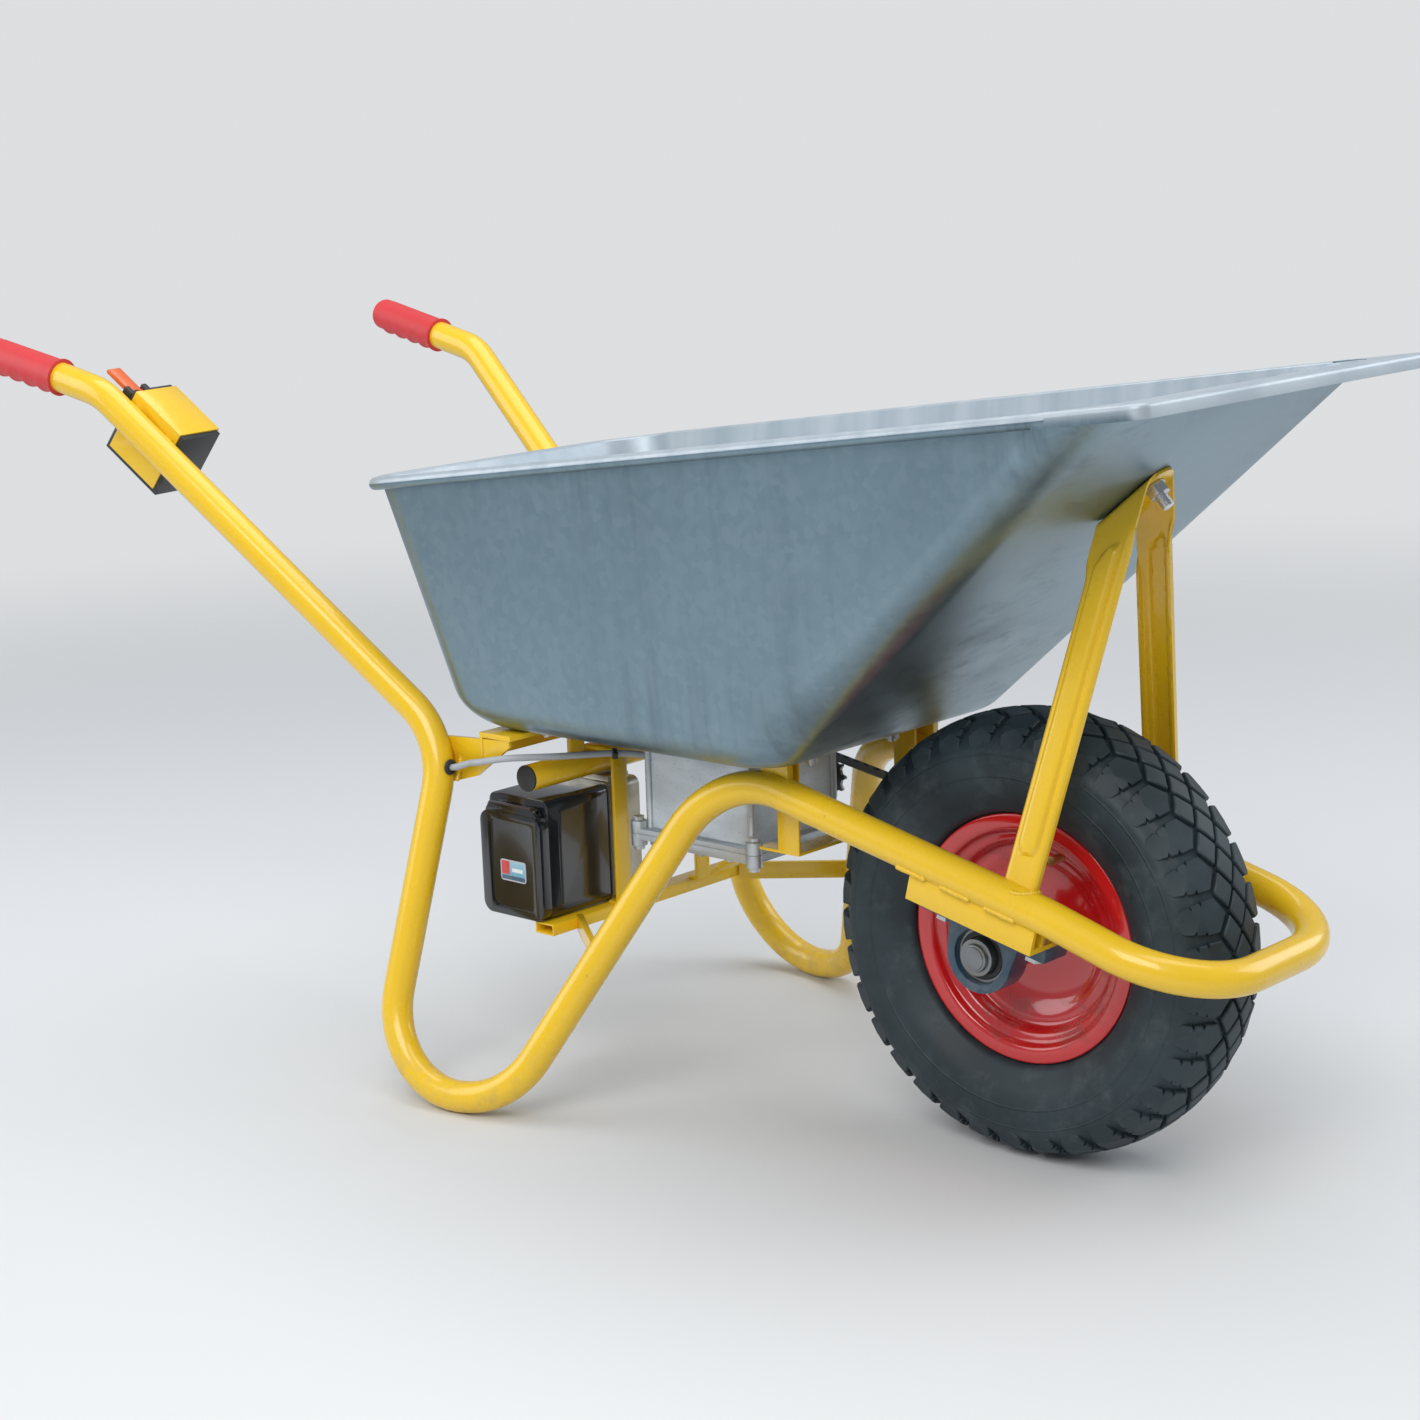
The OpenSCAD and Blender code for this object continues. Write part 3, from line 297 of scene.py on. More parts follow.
def cast_enamel(name, colour):
    """Enamel brushed over sand casting: lumpy skin, thin on the high grain, gloss in the hollows."""
    f = Finish(name, colour, 0.34, Coat_Weight=0.35, Coat_Roughness=0.15)
    lumps = f.noise(130, 4, 0.6)
    dust = f.noise(38, 4, 0.6).above(0.58, 0.1)
    base = f.blend(lumps, darker(colour, 0.7), darker(colour, 1.35))
    base = f.blend(dust * 0.28, base, (0.2, 0.22, 0.22))
    return f.feed(Base_Color=base, Roughness=0.26 + dust * 0.25 + lumps * 0.1,
                  Normal=f.bump(lumps, 0.4, 0.0014))


def gloss_enamel(name, colour):
    """Stoved gloss enamel: deep colour with a slight run and a few dust nibs."""
    f = Finish(name, colour, 0.2, Coat_Weight=0.9, Coat_Roughness=0.04)
    runs = f.noise(11, 2, 0.5)
    nibs = f.cells(150).above(0.05, 0.03)
    grime = f.noise(26, 5, 0.65).above(0.64, 0.08)
    base = f.blend(runs, darker(colour, 0.82), colour)
    base = f.blend(grime * 0.4, base, (0.12, 0.03, 0.02))
    return f.feed(Base_Color=base, Roughness=0.14 + grime * 0.35 + runs * 0.06,
                  Normal=f.bump(runs * 0.8 + nibs * 0.25, 0.12, 0.001))


def tread_rubber(name):
    """Carbon-black rubber with bloom on the sidewall, mould lines round the side and dust in the pattern."""
    f = Finish(name, (0.016, 0.028, 0.034), 0.56, Specular_IOR_Level=0.45)
    x, z = f.axis("X") - axle.x, f.axis("Z") - axle.z
    radius = (x * x + z * z) ** 0.5
    bloom = f.noise(13, 5, 0.6)
    speck = f.cells(190, vector=f.stretched((1, 1.4, 0.8))).above(0.07, 0.02)
    grain = f.noise(420, 3, 0.6)
    side = 1 - radius.above(0.188, 0.006)
    lines = side * (1 - abs(radius - 0.1545).above(0.0008, 0.0005))
    lines = lines + side * (1 - abs(radius - 0.1735).above(0.0006, 0.0004))
    base = f.blend(bloom.above(0.5, 0.22), (0.011, 0.020, 0.026), (0.024, 0.041, 0.050))
    dusty = f.noise(31, 5, 0.7).above(0.6, 0.12) * (side * 0.2 + 0.12)
    base = f.blend(dusty, base, (0.10, 0.125, 0.13))
    base = f.blend((1 - speck) * 0.3 * f.noise(8).above(0.55, 0.08), base, (0.3, 0.31, 0.31))
    return f.feed(Base_Color=base, Roughness=0.46 + bloom * 0.16 + dusty * 0.3,
                  Normal=f.bump(lines * 1.6 + grain * 0.12 + bloom * 0.2, 0.5, 0.001))


def moulded(name, colour, rough, grain=600, coat=0.0, depth=0.0003):
    """Moulded plastic or rubber: fine sparked grain, soft rub marks and lint."""
    f = Finish(name, colour, rough, Coat_Weight=coat, Coat_Roughness=0.06)
    skin = f.noise(grain, 3, 0.6)
    rub = f.noise(24, 4, 0.6)
    lint = f.noise(75, 4, 0.7, f.stretched((1, 1, 0.3))).above(0.66, 0.05)
    base = f.blend(rub, darker(colour, 0.85), darker(colour, 1.12))
    base = f.blend(lint * 0.22, base, tuple(0.55 * c + 0.12 for c in colour))
    return f.feed(Base_Color=base, Roughness=rough - 0.05 + rub * 0.12 + lint * 0.15,
                  Normal=f.bump(skin, 0.3, depth))


def sticker(name):
    """Plain sticker: a red corner block, two pale bands and a grey edge, with no lettering."""
    low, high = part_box("battery_label")
    f = Finish(name, (0.6, 0.75, 0.82), 0.25, Coat_Weight=0.6)
    u = (f.axis("X") - low.x) * (1 / (high.x - low.x))
    v = (f.axis("Z") - low.z) * (1 / (high.z - low.z))
    edge = 1 - abs(u - 0.5).above(0.465, 0.008)
    frame_mask = edge * (1 - abs(v - 0.5).above(0.44, 0.012))
    block = (1 - u.above(0.36, 0.01)) * v.above(0.3, 0.012)
    band = (1 - abs(v - 0.55).above(0.09, 0.012)) * u.above(0.45, 0.01) * (1 - u.above(0.88, 0.01))
    foot = 1 - v.above(0.26, 0.012)
    field = f.blend(v, (0.1, 0.33, 0.5), (0.36, 0.62, 0.76))
    face = f.blend(block, field, (0.62, 0.05, 0.05))
    face = f.blend(band, face, (0.8, 0.87, 0.9))
    face = f.blend(foot, face, (0.05, 0.12, 0.2))
    return f.feed(Base_Color=f.blend(frame_mask, (0.55, 0.57, 0.6), face),
                  Roughness=0.2 + f.noise(90) * 0.15)


YELLOW = (0.86, 0.54, 0.012)
finishes = {
    "frame_paint": powder_coat("yellow_powder_coat", YELLOW),
    "grip_rubber": moulded("red_grip_rubber", (0.62, 0.04, 0.045), 0.5, 260, depth=0.0006),
    "zinc": bright_metal("bright_zinc", (0.74, 0.76, 0.78), 0.3),
    "galvanised_tray": galvanised("galvanised_sheet"),
    "wire_steel": bright_metal("drawn_wire", (0.5, 0.5, 0.5), 0.4),
    "black_plastic": moulded("black_moulding", (0.022, 0.024, 0.027), 0.42),
    "holder_metal": bright_metal("plated_holder", (0.56, 0.54, 0.47), 0.34, 300, (1, 1, 0.06)),
    "brass": bright_metal("brass", (0.72, 0.56, 0.24), 0.3),
    "battery_black": moulded("gloss_black_shell", (0.008, 0.009, 0.011), 0.2, 350, 0.7, 0.0001),
    "label": sticker("plain_sticker"),
    "cell_wrap": moulded("cell_wrap", (0.05, 0.2, 0.45), 0.35),
    "housing_metal": cast_metal("die_cast_skin", (0.62, 0.66, 0.69)),
    "motor_metal": bright_metal("motor_can", (0.42, 0.42, 0.44), 0.38, 300, (1, 0.1, 1)),
    "board": moulded("board_resin", (0.02, 0.16, 0.07), 0.4),
    "machined_steel": bright_metal("turned_steel", (0.27, 0.28, 0.29), 0.34, 420, (1, 0.3, 1)),
    "blue_casting": cast_enamel("blue_enamel", (0.018, 0.052, 0.085)),
    "seal_rubber": moulded("seal_rubber", (0.015, 0.015, 0.016), 0.5),
    "nipple_green": moulded("green_cap", (0.02, 0.42, 0.16), 0.35),
    "rim_red": gloss_enamel("red_rim_enamel", (0.62, 0.012, 0.014)),
    "tyre": tread_rubber("tread_rubber"),
    "lever_orange": moulded("orange_lever", (0.72, 0.13, 0.025), 0.38, coat=0.3),
    "lead_grey": moulded("grey_lead_sheath", (0.40, 0.43, 0.46), 0.45, 700),
}
weld_finish = powder_coat("painted_weld", darker(YELLOW, 0.95))


def give(piece, slot):
    """The finish of a record slot, on a new piece or a CAD node."""
    piece.data.materials.clear()
    piece.data.materials.append(finishes[slot].material)


for name, piece in nodes.items():
    give(piece, slot_of_node[name])


# ---------------------------------------------------------------- pieces
def stood(name, data):
    """A new object of the data, in the scene."""
    made = bpy.data.objects.new(name, data)
    bpy.context.scene.collection.objects.link(made)
    return made


def mesh_piece(name, verts, faces=(), edges=()):
    mesh = bpy.data.meshes.new(name)
    mesh.from_pydata([tuple(v) for v in verts], list(edges), list(faces))
    mesh.validate()
    return stood(name, mesh)


def baked(piece, name):
    """The piece with its modifiers made real, as a plain mesh object; the old object goes."""
    bpy.context.view_layer.update()
    ready = piece.evaluated_get(bpy.context.evaluated_depsgraph_get())
    mesh = bpy.data.meshes.new_from_object(ready)
    mesh.name = name
    bpy.data.objects.remove(piece)
    return stood(name, mesh)


def face_outwards(mesh, join=1e-6):
    """Joins double points and turns every face outwards."""
    work = bmesh.new()
    work.from_mesh(mesh)
    bmesh.ops.remove_doubles(work, verts=work.verts, dist=join)
    bmesh.ops.recalc_face_normals(work, faces=work.faces)
    work.to_mesh(mesh)
    work.free()


def shade(mesh, crease_deg=38):
    """Smooth faces with sharp edges where the surface turns by more than the crease."""
    work = bmesh.new()
    work.from_mesh(mesh)
    for face in work.faces:
        face.smooth = True
    for edge in work.edges:
        turn = edge.calc_face_angle(math.pi) if len(edge.link_faces) == 2 else math.pi
        edge.smooth = turn < math.radians(crease_deg)
    work.to_mesh(mesh)
    work.free()


def settle(piece, body, slot, *stands_for):
    """Rides the piece on its body, with its slot's finish and the CAD nodes that it stands for."""
    if not piece.data.materials:
        give(piece, slot)
    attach(piece, body)
    if stands_for:
        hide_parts(*stands_for)


def alter(piece, kind, **settings):
    """Adds a modifier with its settings."""
    change = piece.modifiers.new(kind.lower(), kind)
    for key, value in settings.items():
        setattr(change, key, value)


def bands(rows, count, base=0, closed=False):
    """Quads between neighbouring rows of points, each row open or closed."""
    faces = []
    for k in range(rows - 1):
        for i in range(count if closed else count - 1):
            a, b = base + k * count + i, base + k * count + (i + 1) % count
            faces.append((a, a + count, b + count, b))
    return faces


class Recipe:
    """A Geometry Nodes tree with named inputs."""

    def __init__(self, name, **inputs):
        self.tree = bpy.data.node_groups.new(name, "GeometryNodeTree")
        sockets = self.tree.interface
        sockets.new_socket("Geometry", in_out="INPUT", socket_type="NodeSocketGeometry")
        self.ids = {}
        for key, value in inputs.items():
            kind = {int: "Int", float: "Float", tuple: "Vector", str: "Material"}[type(value)]
            made = sockets.new_socket(key, in_out="INPUT", socket_type="NodeSocket" + kind)
            if kind != "Material":
                made.default_value = value
            self.ids[key] = made.identifier
        sockets.new_socket("Geometry", in_out="OUTPUT", socket_type="NodeSocketGeometry")
        self.given = self.tree.nodes.new("NodeGroupInput")

    def input(self, key):
        return self.given.outputs[key]

    def node(self, kind, settings=None, inputs=None, out=0):
        return add_node(self.tree, kind, settings or {}, inputs or {}).outputs[out]

    def line(self):
        """The host's edges as a curve."""
        return self.node("GeometryNodeMeshToCurve", {}, {0: self.input("Geometry")})

    def stops(self, spacing):
        """Points along the host's line, at a named spacing."""
        return self.node("GeometryNodeResampleCurve", {"mode": "LENGTH"},
                         {"Curve": self.line(), "Length": self.input(spacing)})

    def circle(self, radius, sides):
        return self.node("GeometryNodeCurvePrimitiveCircle", {"mode": "RADIUS"},
                         {"Resolution": sides, "Radius": self.input(radius)})

    def put(self, points, piece, **more):
        """The piece at every point."""
        return self.node("GeometryNodeInstanceOnPoints", {}, {"Points": points, "Instance": piece, **more})

    def end(self, geometry):
        real = self.node("GeometryNodeRealizeInstances", {}, {0: geometry})
        smooth = self.node("GeometryNodeSetShadeSmooth", {}, {0: real})
        done = self.node("GeometryNodeSetMaterial", {}, {0: smooth, "Material": self.input("Material")})
        self.tree.links.new(done, self.tree.nodes.new("NodeGroupOutput").inputs[0])
        return self

    def make(self, host, name, finish, **values):
        """Runs the recipe on the host's mesh and gives back a plain mesh object."""
        work = host.modifiers.new("recipe", "NODES")
        work.node_group = self.tree
        work[self.ids["Material"]] = finish.material
        for key, value in values.items():
            work[self.ids[key]] = value
        return baked(host, name)


def tube_recipe():
    """A round tube along the host's line."""
    r = Recipe("round_section_on_a_line", Radius=0.016, Sides=40, Material="")
    return r.end(r.node("GeometryNodeCurveToMesh", {}, {
        "Curve": r.line(), "Profile Curve": r.circle("Radius", r.input("Sides")), "Fill Caps": True}))


def weld_recipe():
    """Overlapping drops laid along a line, as a welder leaves them."""
    r = Recipe("weld_drops_on_a_line", Radius=0.0026, Spacing=0.0022, Seed=3, Material="")
    drop = r.node("GeometryNodeMeshIcoSphere", {}, {"Radius": r.input("Radius"), "Subdivisions": 2})
    size = r.node("FunctionNodeRandomValue", {"data_type": "FLOAT"},
                  {2: 0.86, 3: 1.12, "Seed": r.input("Seed")}, 1)
    return r.end(r.put(r.stops("Spacing"), drop, Scale=size))


def round_recipe():
    """The host's mesh, repeated round the Y axis and then moved to its centre."""
    r = Recipe("repeat_round_an_axle", Count=34, Centre=(0.0, 0.0, 0.0), Material="")
    points = r.node("GeometryNodeMeshLine", {}, {"Count": r.input("Count"), "Offset": (0, 0, 0)})
    step = r.node("ShaderNodeMath", {"operation": "DIVIDE"}, {0: 2 * math.pi, 1: r.input("Count")})
    turn = r.node("ShaderNodeMath", {"operation": "MULTIPLY"}, {0: r.node("GeometryNodeInputIndex"), 1: step})
    each = r.put(points, r.input("Geometry"), Rotation=r.node("ShaderNodeCombineXYZ", {}, {"Y": turn}))
    return r.end(r.node("GeometryNodeTransform", {}, {"Geometry": each, "Translation": r.input("Centre")}))


def ring_recipe():
    """Thin round rings standing across a line, as the crests of a thread."""
    r = Recipe("rings_along_a_line", Radius=0.005, Wire=0.0005, Pitch=0.0015, Material="")
    ring = r.node("GeometryNodeCurveToMesh", {}, {"Curve": r.circle("Radius", 28),
                                                  "Profile Curve": r.circle("Wire", 4)})
    facing = r.node("FunctionNodeAlignRotationToVector", {"axis": "Z"},
                    {"Vector": r.node("GeometryNodeInputTangent")})
    return r.end(r.put(r.stops("Pitch"), ring, Rotation=facing))


def roller_recipe():
    """Chain rollers lying across the chain, one at each pin of the line."""
    r = Recipe("rollers_on_a_line", Radius=0.0038, Width=0.0046, Pitch=0.0127, Material="")
    drum = r.node("GeometryNodeMeshCylinder", {},
                  {"Vertices": 12, "Radius": r.input("Radius"), "Depth": r.input("Width")})
    return r.end(r.put(r.stops("Pitch"), drum, Rotation=(math.pi / 2, 0, 0)))


tubes, welds, rounds, rings, rollers = (
    tube_recipe(), weld_recipe(), round_recipe(), ring_recipe(), roller_recipe())


def line_host(points, closed=False):
    links = [(i, i + 1) for i in range(len(points) - 1)]
    if closed:
        links.append((len(points) - 1, 0))
    return mesh_piece("line", points, edges=links)


# ---------------------------------------------------------------- frame's centre line
HANDLE_Y, KNEE_Y, FOOT_Y, RAIL_Y, TUBE_R = 276, 187, 300, 118, 16
corners = [Vector(c) for c in (
    (-1068, -HANDLE_Y, 706), (-1003, 4 - HANDLE_Y, 691), (-586, -KNEE_Y, 350.6), (-596, -FOOT_Y, -0.92),
    (-435, 34 - FOOT_Y, 25.08), (-283, 6 - RAIL_Y, 347.5), (85, -RAIL_Y, 264.5), (236, -RAIL_Y - 5, 221))]
bends = [0, 76, 96, 89, 95, 90, 156, 86]
mirrored = Vector((1, -1, 1))
full_corners = corners + [c * mirrored for c in reversed(corners)]
full_bends = bends + bends[::-1]


def arc(i):
    """Start, end, centre and turn of the bend at a corner."""
    a, b, c = full_corners[i - 1:i + 2]
    u, w = (a - b).normalized(), (c - b).normalized()
    half = u.angle(w) / 2
    reach = full_bends[i] / math.tan(half)
    centre = b + (u + w).normalized() * full_bends[i] / math.sin(half)
    return b + u * reach, b + w * reach, centre, math.pi - 2 * half


def on_arc(i, share):
    """A point of the bend at a corner, at a share of its turn."""
    start, _, centre, turn = arc(i)
    normal = (full_corners[i] - full_corners[i - 1]).cross(full_corners[i + 1] - full_corners[i]).normalized()
    spoke = start - centre
    return centre + spoke * math.cos(turn * share) + normal.cross(spoke) * math.sin(turn * share)


def to_place(points):
    return [at(*p) for p in points]


def mix(a, b, t):
    return a + (b - a) * t


def eased_step(value):
    """0 to 1 with a soft start and end."""
    value = min(1, max(0, value))
    return value * value * (3 - 2 * value)


# ---------------------------------------------------------------- control lead
handle_start, handle_end = arc(1)[1], arc(2)[0]


def on_handle_line(share):
    return mix(handle_start, handle_end, share)


hole, knee = on_handle_line(0.1), on_arc(2, 0.72)
handle_t = (corners[2] - corners[1]).normalized()
handle_up = (Vector((0, 0, 1)) - handle_t * handle_t.z).normalized()
handle_in = handle_up.cross(handle_t)
lead = [hole + handle_in * 40, hole + handle_in * 26, hole + handle_in * 12 + handle_t * 2,
        hole + handle_in * 4 + handle_t * 11]
lead += [on_handle_line(0.16 + 0.07 * k) for k in range(12)] + [on_arc(2, f) for f in (0.1, 0.25, 0.4, 0.55)]
lead += [knee + Vector(o) for o in ((3, 0, 0), (12, 0, 0), (24, 1, 0.5))]
lead += [Vector(p) for p in ((-552, -189, 331), (-538, -191, 334), (-520, -190, 338), (-503, -184, 341),
                             (-490, -165, 340), (-480, -138, 337), (-472, -112, 334.5), (-462, -90, 333),
                             (-448, -72, 331.5), (-430, -62, 330), (-416, -60, 330), (-404.5, -60, 330))]


def flowing(points, steps):
    """A smooth line through the points."""
    line = []
    for i in range(len(points) - 1):
        p = [points[max(0, min(len(points) - 1, i + k))] for k in (-1, 0, 1, 2)]
        for s in range(steps):
            t = s / steps
            line.append(0.5 * (2 * p[1] + (p[2] - p[0]) * t + (2 * p[0] - 5 * p[1] + 4 * p[2] - p[3]) * t * t
                               + (3 * p[1] - p[0] - 3 * p[2] + p[3]) * t ** 3))
    return line + [points[-1]]


lead_line = to_place(flowing(lead, 4))
LEAD_D = 6.8
curve = bpy.data.curves.new("control_lead", "CURVE")
curve.dimensions = "3D"
curve.bevel_depth = LEAD_D / 2 * MM
curve.bevel_resolution = 5
curve.use_fill_caps = True
spline = curve.splines.new("POLY")
spline.points.add(len(lead_line) - 1)
for spot, p in zip(spline.points, lead_line):
    spot.co = (*p, 1)
spline.use_smooth = True
control_lead = stood("control_lead", curve)
curve.materials.append(finishes["lead_grey"].material)
settle(control_lead, "chassis", "lead_grey", "cable")

# ---------------------------------------------------------------- frame tube and grips
GRIP_LEN = 118
grip_dir = (Vector((-1186, -HANDLE_Y - 10, 732)) - corners[0]).normalized()
tube_line = [corners[0] + grip_dir * (GRIP_LEN - 5), corners[0] + grip_dir * 6, corners[0]]
for i in range(1, 15):
    tube_line += [on_arc(i, k / 16) for k in range(17)]
tube_line += [p * mirrored for p in reversed(tube_line[:3])]
frame_tube = tubes.make(line_host(to_place(tube_line)), "bent_frame_tube", finishes["frame_paint"],
                        Radius=TUBE_R * MM, Sides=40)
settle(frame_tube, "chassis", "frame_paint", "handle_right", "handle_left", "leg_right", "leg_left",
       "rail_right", "rail_left", "guard_loop")


def grip(node, side):
    """Rubber grip: a collar, four finger ridges underneath and a domed end."""
    around, along, radius, ridge_rise, ridge_step, first_ridge = 40, 76, 18, 2.6, 24, 22
    up = Vector((0, 1, 0)).cross(grip_dir).normalized()
    out = grip_dir.cross(up)
    if up.z < 0:
        up, out = -up, -out
    verts, faces = [], []
    for j in range(along + 1):
        z = 0.5 + (GRIP_LEN + 3.5) * j / along
        collar = 2 * (1 - min(1, max(0, (z - 3.2) / 0.9)))
        end = max(0.0, (z - (GRIP_LEN - 7)) / 10.5)
        base = (radius + collar) * math.sqrt(max(0, 1 - end ** 2.4))
        wave = math.cos((z - first_ridge) / ridge_step * 2 * math.pi)
        ridge = ridge_rise * max(0.0, wave) if 10 < z < 106 else 0
        for i in range(around):
            a = 2 * math.pi * i / around
            down = max(0.0, -math.cos(a)) ** 1.3
            rib = 0.35 * (0.5 + 0.5 * math.cos(a * 20)) if 12 < z < 104 else 0
            r = base + (down * ridge + rib * (1 - down)) * (1 - end)
            p = corners[0] + grip_dir * z + up * (r * math.cos(a)) + out * (r * math.sin(a))
            verts.append(at(p.x, side * p.y, p.z))
    for j in range(along):
        for i in range(around):
            k = (i + 1) % around
            faces.append((j * around + i, j * around + k, (j + 1) * around + k, (j + 1) * around + i))
    first = len(verts)
    for i in range(around):
        a = 2 * math.pi * i / around
        p = corners[0] + grip_dir * 0.5 + up * (16.2 * math.cos(a)) + out * (16.2 * math.sin(a))
        verts.append(at(p.x, side * p.y, p.z))
        k = (i + 1) % around
        faces.append((i, first + i, first + k, k))
    faces.append(tuple(along * around + i for i in range(around)))
    faces.append(tuple(first + i for i in range(around)))
    made = mesh_piece(f"{node}_rubber", verts, faces)
    face_outwards(made.data)
    shade(made.data, 50)
    settle(made, "chassis", "grip_rubber", node)


grip("grip_right", 1)
grip("grip_left", -1)


# ---------------------------------------------------------------- pressed tray
FLOOR_Z, FLOOR_REAR, FLOOR_FRONT, FLOOR_Y = 363, -584, -175, 184
RIM_REAR, RIM_FRONT, REAR_Y, FRONT_Y = (-680, 606), (200, 704), 202, 220
SIDE_R, CREASE_R, SHEET, BEAD_R, LIP, LIP_SIDE = (70, 60, 36), (60, 55), 1.6, 6, 42, 9.5
ARC_N, WALL_N, CORNER_N, LONG_N = 9, 9, 12, 12
LEVELS = ARC_N + WALL_N
front_slope = math.atan2(RIM_FRONT[1] - FLOOR_Z, RIM_FRONT[0] - FLOOR_FRONT)
rear_slope = math.atan2(RIM_REAR[1] - FLOOR_Z, FLOOR_REAR - RIM_REAR[0])


def wall_point(k, r, a, rise, off):
    """Overhang and height of a wall at a level, with its rounded foot."""
    t, inner = r * math.tan(a / 2), r - off
    if k <= ARC_N:
        u = k / ARC_N * a
        return -t + inner * math.sin(u), r - inner * math.cos(u)
    foot = (-t + inner * math.sin(a), r - inner * math.cos(a))
    top = (rise / math.tan(a) - off / math.sin(a), rise)
    share = (k - ARC_N) / WALL_N
    return mix(foot[0], top[0], share), mix(foot[1], top[1], share)


def side_at(x, k, off):
    """Overhang and height of the side wall at a station and a level."""
    s = (x - RIM_REAR[0]) / (RIM_FRONT[0] - RIM_REAR[0])
    rise = mix(RIM_REAR[1], RIM_FRONT[1], s) - FLOOR_Z
    return wall_point(k, SIDE_R[2], math.atan2(rise, mix(REAR_Y, FRONT_Y, s) - FLOOR_Y), rise, off)


def tray_loop(k, off):
    """One level line of the tray: rear corner, side and front corner, then the same mirrored."""
    rear = wall_point(k, SIDE_R[0], rear_slope, RIM_REAR[1] - FLOOR_Z, off)
    fore = wall_point(k, SIDE_R[1], front_slope, RIM_FRONT[1] - FLOOR_Z, off)
    x0, x1, s = FLOOR_REAR - rear[0], FLOOR_FRONT + fore[0], min(k / LEVELS, 1)
    r0, r1 = mix(46, CREASE_R[0], s) - off, mix(30, CREASE_R[1], s) - off
    y0, y1 = FLOOR_Y + side_at(x0 + r0, k, off)[0], FLOOR_Y + side_at(x1 - r1, k, off)[0]
    right = []
    for i in range(CORNER_N + 1):
        a, t = math.pi / 2 * i / CORNER_N, i / CORNER_N
        x = x0 + r0 - r0 * math.cos(a)
        right.append((x, -(y0 - r0 + r0 * math.sin(a)),
                      FLOOR_Z + mix(rear[1], side_at(x, k, off)[1], eased_step(t))))
    for i in range(1, LONG_N):
        x = mix(x0 + r0, x1 - r1, i / LONG_N)
        right.append((x, -mix(y0, y1, i / LONG_N), FLOOR_Z + side_at(x, k, off)[1]))
    for i in range(CORNER_N + 1):
        a, t = math.pi / 2 * i / CORNER_N, i / CORNER_N
        x = x1 - r1 + r1 * math.sin(a)
        right.append((x, -(y1 - r1 + r1 * math.cos(a)),
                      FLOOR_Z + mix(side_at(x, k, off)[1], fore[1], eased_step(t))))
    return [Vector(p) for p in right] + [Vector(p) * mirrored for p in reversed(right)]


def tray_shell():
    """Outer and inner skins of the tray, joined along the rim."""
    verts, faces, sides = [], [], []
    for off in (0, SHEET):
        bottom = tray_loop(0, off)
        heart = Vector(((FLOOR_REAR + FLOOR_FRONT) / 2, 0, bottom[0].z))
        skins = [[heart + (p - heart) * share for p in bottom] for share in (0.25, 0.5, 0.75, 0.93)]
        skins += [tray_loop(k, off) for k in range(LEVELS + 1)]
        start, m = len(verts), len(bottom)
        verts += [p for loop in skins for p in loop] + [heart]
        centre = len(verts) - 1
        skin_faces = bands(len(skins), m, start, True)
        skin_faces += [(centre, start + i, start + (i + 1) % m) for i in range(m)]
        faces += [face[::-1] for face in skin_faces] if off else skin_faces
        sides.append(start + (len(skins) - 1) * m)
    for i in range(m):
        k = (i + 1) % m
        faces.append((sides[0] + i, sides[1] + i, sides[1] + k, sides[0] + k))
    return mesh_piece("tray_shell_part", to_place(verts), faces)


def tray_lip(rim):
    """Flat band across the front and over both corners, with a rounded turned edge on three sides."""
    half, corner, drop, fold, start = FRONT_Y + LIP_SIDE, 14, 12, 4, rim[0].x - RIM_FRONT[0] - 2
    line = [Vector((start * k / 4, -half)) for k in range(4, -1, -1)] + [Vector((8, -half))]
    line += [Vector((LIP - corner + corner * math.sin(a), corner - half - corner * math.cos(a)))
             for a in (math.pi / 2 * i / 8 for i in range(9))]
    line.append(Vector((LIP, 0)))
    inward = []
    for i in range(len(line)):
        way = (line[min(i + 1, len(line) - 1)] - line[max(i - 1, 0)]).normalized()
        inward.append(Vector((-way.y, way.x)))
    section = [(fold, 0)] + [(fold - fold * math.sin(a), -(fold - fold * math.cos(a)))
                             for a in (math.pi / 2 * k / 6 for k in range(1, 7))] + [(0, -drop)]
    tilt = math.atan2(RIM_FRONT[1] - RIM_REAR[1], RIM_FRONT[0] - RIM_REAR[0])

    def lifted(x, y, down=0.0):
        return Vector((RIM_FRONT[0] + x * math.cos(tilt) - down * math.sin(tilt), y,
                       RIM_FRONT[1] + 1.4 + x * math.sin(tilt) + down * math.cos(tilt)))

    verts, n = [], len(line)
    for back, down in section:
        verts += [lifted(p.x + way.x * back, p.y + way.y * back, down) for p, way in zip(line, inward)]
    faces = bands(len(section), n)
    inner, steps = len(verts), len(rim) - 1
    verts += [lifted(p.x - RIM_FRONT[0], p.y) for p in rim]
    for i in range(n - 1):
        low, high = i * steps // (n - 1), (i + 1) * steps // (n - 1)
        faces.append((i, i + 1) + tuple(inner + k for k in range(high, low - 1, -1)))
    count = len(verts)
    verts += [p * mirrored for p in verts]
    faces += [tuple(count + i for i in reversed(face)) for face in faces]
    made = mesh_piece("tray_lip_part", to_place(verts), faces)
    face_outwards(made.data)
    alter(made, "SOLIDIFY", thickness=SHEET * MM, offset=-1)
    return baked(made, "tray_lip_part")


def joined(name, parts):
    """Several plain meshes as one piece."""
    work = bmesh.new()
    for part in parts:
        work.from_mesh(part.data)
        bpy.data.objects.remove(part)
    mesh = bpy.data.meshes.new(name)
    work.to_mesh(mesh)
    work.free()
    return stood(name, mesh)


